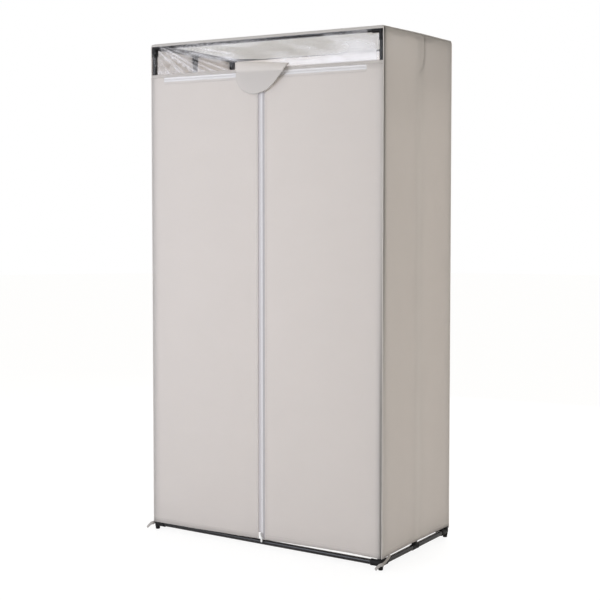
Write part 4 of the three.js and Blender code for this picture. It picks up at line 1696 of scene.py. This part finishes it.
class WARDROBE_OT_dust_flap(bpy.types.Operator):
    """Makes the round flap over the meeting of the zips."""

    bl_idname = "wardrobe.dust_flap"
    bl_label = "Dust flap"

    # Places across and up, in mm: the free edge from end to end, and the sewn top edge
    hem = [Vector(place) for place in (
        (-76, 1487), (-79, 1463), (-66, 1439), (-44, 1426), (-17, 1421), (8, 1424), (31, 1432),
        (60, 1452), (87, 1477), (97, 1484),
    )]
    top = (Vector((-84, 1523)), Vector((106, 1508)))
    stand = 18 * MM
    cut = (190 * MM, 103 * MM)
    cut_share = 0.82

    def place(self, across, down, out=0.0):
        """Point of the flap. Its sewn edge is at down 0, its bend at 1 and its free edge at 2."""
        bend = self.hem[0].lerp(self.hem[-1], across) * MM
        if down <= 1:
            x, z = (self.top[0].lerp(self.top[1], across) * MM).lerp(bend, down)
            stand = self.stand * math.sin(QUARTER * down) ** 0.9
        else:
            x, z = bend.lerp(along_curve(self.hem, across) * MM, down - 1)
            fallen = (bend.y - z) / (66 * MM)
            stand = self.stand - 11 * MM * ease(fallen, -0.15, 1.1)
            stand -= 3.5 * MM * ease(-x, 30 * MM, 90 * MM) * min(1.0, 2 * fallen)
        stand += 0.7 * MM * ripple((x, 0.3, z), 0.05, 2.0) * min(1.0, down)
        return Vector((x, FRONT - 0.8 * MM - stand - out, z))

    def rim_place(self, d):
        """Place on the flap for a share of the way round its free sides."""
        side = 0.12
        if d < side:
            return 0.0, d / side
        if d > 1 - side:
            return 1.0, (1 - d) / side
        return (d - side) / (1 - 2 * side), 2.0

    def rim(self, d):
        """Path down the flap's left side, round its free edge and up its right side."""
        before, after = (
            self.place(*self.rim_place(min(1.0, max(0.0, d + step)))) for step in (-0.004, 0.004)
        )
        tangent = (after - before).normalized()
        side = tangent.cross(Vector((0, -1, 0))).normalized()
        return self.place(*self.rim_place(d), -0.5 * MM), side, side.cross(tangent).normalized()

    def execute(self, context):
        bm = bmesh.new()
        # Painted shade on the flap's hanging part, a little lighter towards its free edge
        lay(
            bm, even(0, 1, 64), even(0, 1, 12) + even(1, 2, 36)[1:], self.place,
            shade=lambda across, down: 0.22 * ease(down, 0.8, 1.05) - 0.05 * ease(down, 1.2, 2),
        )
        bmesh.ops.remove_doubles(bm, verts=bm.verts[:], dist=MERGE)
        cloth = make("dust_flap_cloth", bm, ["flap"], FLAP_THICKNESS)
        bm = bmesh.new()
        cord(bm, self.rim, even(0, 1, 200), 1.3 * MM, 0.9 * MM)
        cap_open(bm)
        edge = make("dust_flap_binding", bm, ["binding"])
        fit(cloth, "cloth", "flap", "dust_flap")
        fit(edge, "cloth", "flap")
        return report_done(self, [cloth, edge])


class WARDROBE_OT_tie_tapes(bpy.types.Operator):
    """Makes the tapes tied round the front bottom corners."""

    bl_idname = "wardrobe.tie_tapes"
    bl_label = "Tie tapes"

    def ribbon(self, bm, knot, places, start_twist, end_twist):
        """Ribbon through places in mm from the knot, turning from one twist to the other."""
        points = [knot + Vector(place) * MM for place in places]

        def path(share):
            ahead = along_curve(points, min(1.0, share + 0.01))
            tangent = (ahead - along_curve(points, max(0.0, share - 0.01))).normalized()
            twist = start_twist + (end_twist - start_twist) * share
            side = Matrix.Rotation(twist, 3, tangent) @ Vector((0, 0, 1))
            side = (side - tangent * side.dot(tangent)).normalized()
            return along_curve(points, share), side, tangent.cross(side)

        band(bm, path, even(0, 1, 36), 9.6 * MM, 0.9 * MM)

    def tie(self, way):
        """A tied tape: two free ends, and two turns of tape round the knot."""
        away = (SLEEVE_RADIUS + 5.8 * MM) * math.sqrt(0.5)
        knot = Vector((way * (POST_X + away), -POST_Y - away, RAIL_LOW))
        bm = bmesh.new()
        self.ribbon(bm, knot, (
            (1.5 * way, 1.0, 0.5), (-5, -3.2, -1.5), (-12, -6, -8), (-18, -9, -15.5),
        ), 0.2, 0.9)
        self.ribbon(bm, knot, (
            (-1, -1.5, 0), (1.5 * way, 12, 3.0), (2.6 * way, 27, 10.0), (3.0 * way, 42, 19.0),
        ), 0.1, -0.25)
        tilt = Matrix.Rotation(0.35, 3, "X")

        def round_knot(d):
            angle = math.tau * d
            spoke = tilt @ Vector((math.cos(angle), math.sin(angle), 0))
            return knot + spoke * 4.2 * MM, tilt @ Vector((0, 0, 1)), spoke

        def over_knot(d):
            angle = math.tau * d
            across, up = math.cos(angle), math.sin(angle)
            spoke = Vector((0.3 * across, across, up)).normalized()
            return knot + spoke * 3.6 * MM, Vector((1, -0.3, 0)).normalized(), spoke

        band(bm, round_knot, even(0, 1, 28), 7.0 * MM, 1.6 * MM)
        band(bm, over_knot, even(0, 1, 28), 6.0 * MM, 1.5 * MM)
        bmesh.ops.remove_doubles(bm, verts=bm.verts[:], dist=MERGE)
        cap_open(bm)
        for face in bm.faces:
            face.smooth = True
        return bm

    def execute(self, context):
        made = []
        for side, way in (("left", -1), ("right", 1)):
            tie = make(f"tie_tape_{side}_ribbon", self.tie(way), ["tie"])
            made.append(fit(tie, "tie", "cover_and_frame", f"tie_tape_{side}"))
        return report_done(self, made)


class WARDROBE_OT_stage(bpy.types.Operator):
    """Makes the floor, the lights and the camera."""

    bl_idname = "wardrobe.stage"
    bl_label = "Stage"

    # Each lamp's name, place, target, width, power and colour
    lamps = (
        ("key_softbox", (-1.1, -2.9, 1.45), (-0.2, -0.2, 0.85), 1.8, 42, (0.91, 0.97, 1.12)),
        ("top_softbox", (0.2, 0.2, 3.3), (0.0, 0.0, 1.6), 1.4, 6, (1.0, 0.99, 0.98)),
        ("rear_softbox", (-0.4, 2.7, 1.5), (0.0, 0.2, 1.2), 1.8, 50, (0.98, 0.99, 1.0)),
    )
    # Where the photo was taken from, and how the camera was turned, in degrees
    camera_place = (2.1896, -3.3806, 1.1045)
    camera_down = 2.85
    camera_round = 32.915
    camera_lens = 74.388
    camera_shift = -0.07

    def floor(self):
        """Pale floor, which the camera sees as white."""
        f = Finish("studio_floor")
        mottle = f.noise(f.place(), 0.6)
        base = f.tint((0.84, 0.84, 0.84), 0.98 + mottle * 0.03)
        plain = f.principled(base_color=base, roughness=0.7)
        seen = f.node("ShaderNodeLightPath", output="Is Camera Ray")
        glow = f.node("ShaderNodeEmission", {"Color": (1, 1, 1, 1), "Strength": 1.09})
        material = f.done(f.node("ShaderNodeMixShader", {0: seen * 0.8, 1: plain, 2: glow}))
        bm = bmesh.new()
        bmesh.ops.create_circle(bm, cap_ends=True, segments=96, radius=14)
        floor = make("studio_floor", bm, [])
        floor.data.materials.append(material)

    def world(self):
        """Warm, even light, with a white background for the camera, gloss and clear plastic."""
        world = bpy.data.worlds.new("studio")
        bpy.context.scene.world = world
        world.use_nodes = True
        w = NodeTree(world.node_tree)
        camera, gloss, through = (
            w.node("ShaderNodeLightPath", output=f"Is {kind} Ray")
            for kind in ("Camera", "Glossy", "Transmission")
        )
        seen = camera.math("MAXIMUM", camera.math("MAXIMUM", camera, gloss), through)
        light = {"Color": (1.0, 0.955, 0.855, 1), "Strength": 0.67}
        plain = w.node("ShaderNodeBackground", light)
        white = w.node("ShaderNodeBackground", {"Color": (1, 1, 1, 1), "Strength": 1.0})
        mixed = w.node("ShaderNodeMixShader", {0: seen, 1: plain, 2: white})
        w.node("ShaderNodeOutputWorld", {"Surface": mixed})

    def lamp(self, name, place, target, width, power, tint):
        """Square soft lamp that faces a target."""
        light = bpy.data.lights.new(name, "AREA")
        light.shape = "RECTANGLE"
        light.size = light.size_y = width
        light.energy = power
        light.color = tint
        lamp = bpy.data.objects.new(name, light)
        bpy.context.scene.collection.objects.link(lamp)
        lamp.location = place
        way = Vector(target) - Vector(place)
        lamp.rotation_euler = way.to_track_quat("-Z", "Y").to_euler()

    def camera(self):
        """Camera where the photo was taken from."""
        camera = bpy.data.objects.new("photo_camera", bpy.data.cameras.new("photo_camera"))
        bpy.context.scene.collection.objects.link(camera)
        camera.location = self.camera_place
        tilt, turn = math.radians(90 - self.camera_down), math.radians(self.camera_round)
        camera.rotation_euler = (tilt, 0, turn)
        camera.data.sensor_width = 36
        camera.data.lens = self.camera_lens
        camera.data.shift_y = self.camera_shift
        camera.data.clip_end = 100
        bpy.context.scene.camera = camera

    def execute(self, context):
        self.floor()
        self.world()
        for lamp in self.lamps:
            self.lamp(*lamp)
        self.camera()
        context.scene.view_settings.view_transform = "Standard"
        return {"FINISHED"}


GROUPS = {
    "wardrobe_cover": WardrobeCover,
    "wardrobe_frame": WardrobeFrame,
    "wardrobe_zips": WardrobeZips,
    "wardrobe_colours": WardrobeColours,
}
OPERATORS = (
    WARDROBE_OT_stage,
    WARDROBE_OT_tubes,
    WARDROBE_OT_fittings,
    WARDROBE_OT_roof,
    WARDROBE_OT_walls,
    WARDROBE_OT_window,
    WARDROBE_OT_doors,
    WARDROBE_OT_seams,
    WARDROBE_OT_stitching,
    WARDROBE_OT_zips,
    WARDROBE_OT_sliders,
    WARDROBE_OT_dust_flap,
    WARDROBE_OT_tie_tapes,
)


class WARDROBE_PT_pieces(bpy.types.Panel):
    """Lists the wardrobe's pieces and sizes."""

    bl_idname = "WARDROBE_PT_pieces"
    bl_label = "Fabric wardrobe"
    bl_space_type = "VIEW_3D"
    bl_region_type = "UI"
    bl_category = "Wardrobe"

    def draw(self, context):
        for group_name in GROUPS:
            group = getattr(context.scene, group_name)
            box = self.layout.box()
            for name in group.bl_rna.properties.keys():
                if name not in ("rna_type", "name"):
                    box.prop(group, name)
        for operator in OPERATORS:
            self.layout.operator(operator.bl_idname)


def register():
    for name, group in GROUPS.items():
        bpy.utils.register_class(group)
        setattr(bpy.types.Scene, name, PointerProperty(type=group))
    for operator in (*OPERATORS, WARDROBE_PT_pieces):
        bpy.utils.register_class(operator)


def unregister():
    for operator in (WARDROBE_PT_pieces, *reversed(OPERATORS)):
        bpy.utils.unregister_class(operator)
    for name, group in GROUPS.items():
        delattr(bpy.types.Scene, name)
        bpy.utils.unregister_class(group)


def main():
    register()
    for operator in OPERATORS:
        group, name = operator.bl_idname.split(".")
        getattr(getattr(bpy.ops, group), name)()


if __name__ == "__main__":
    main()
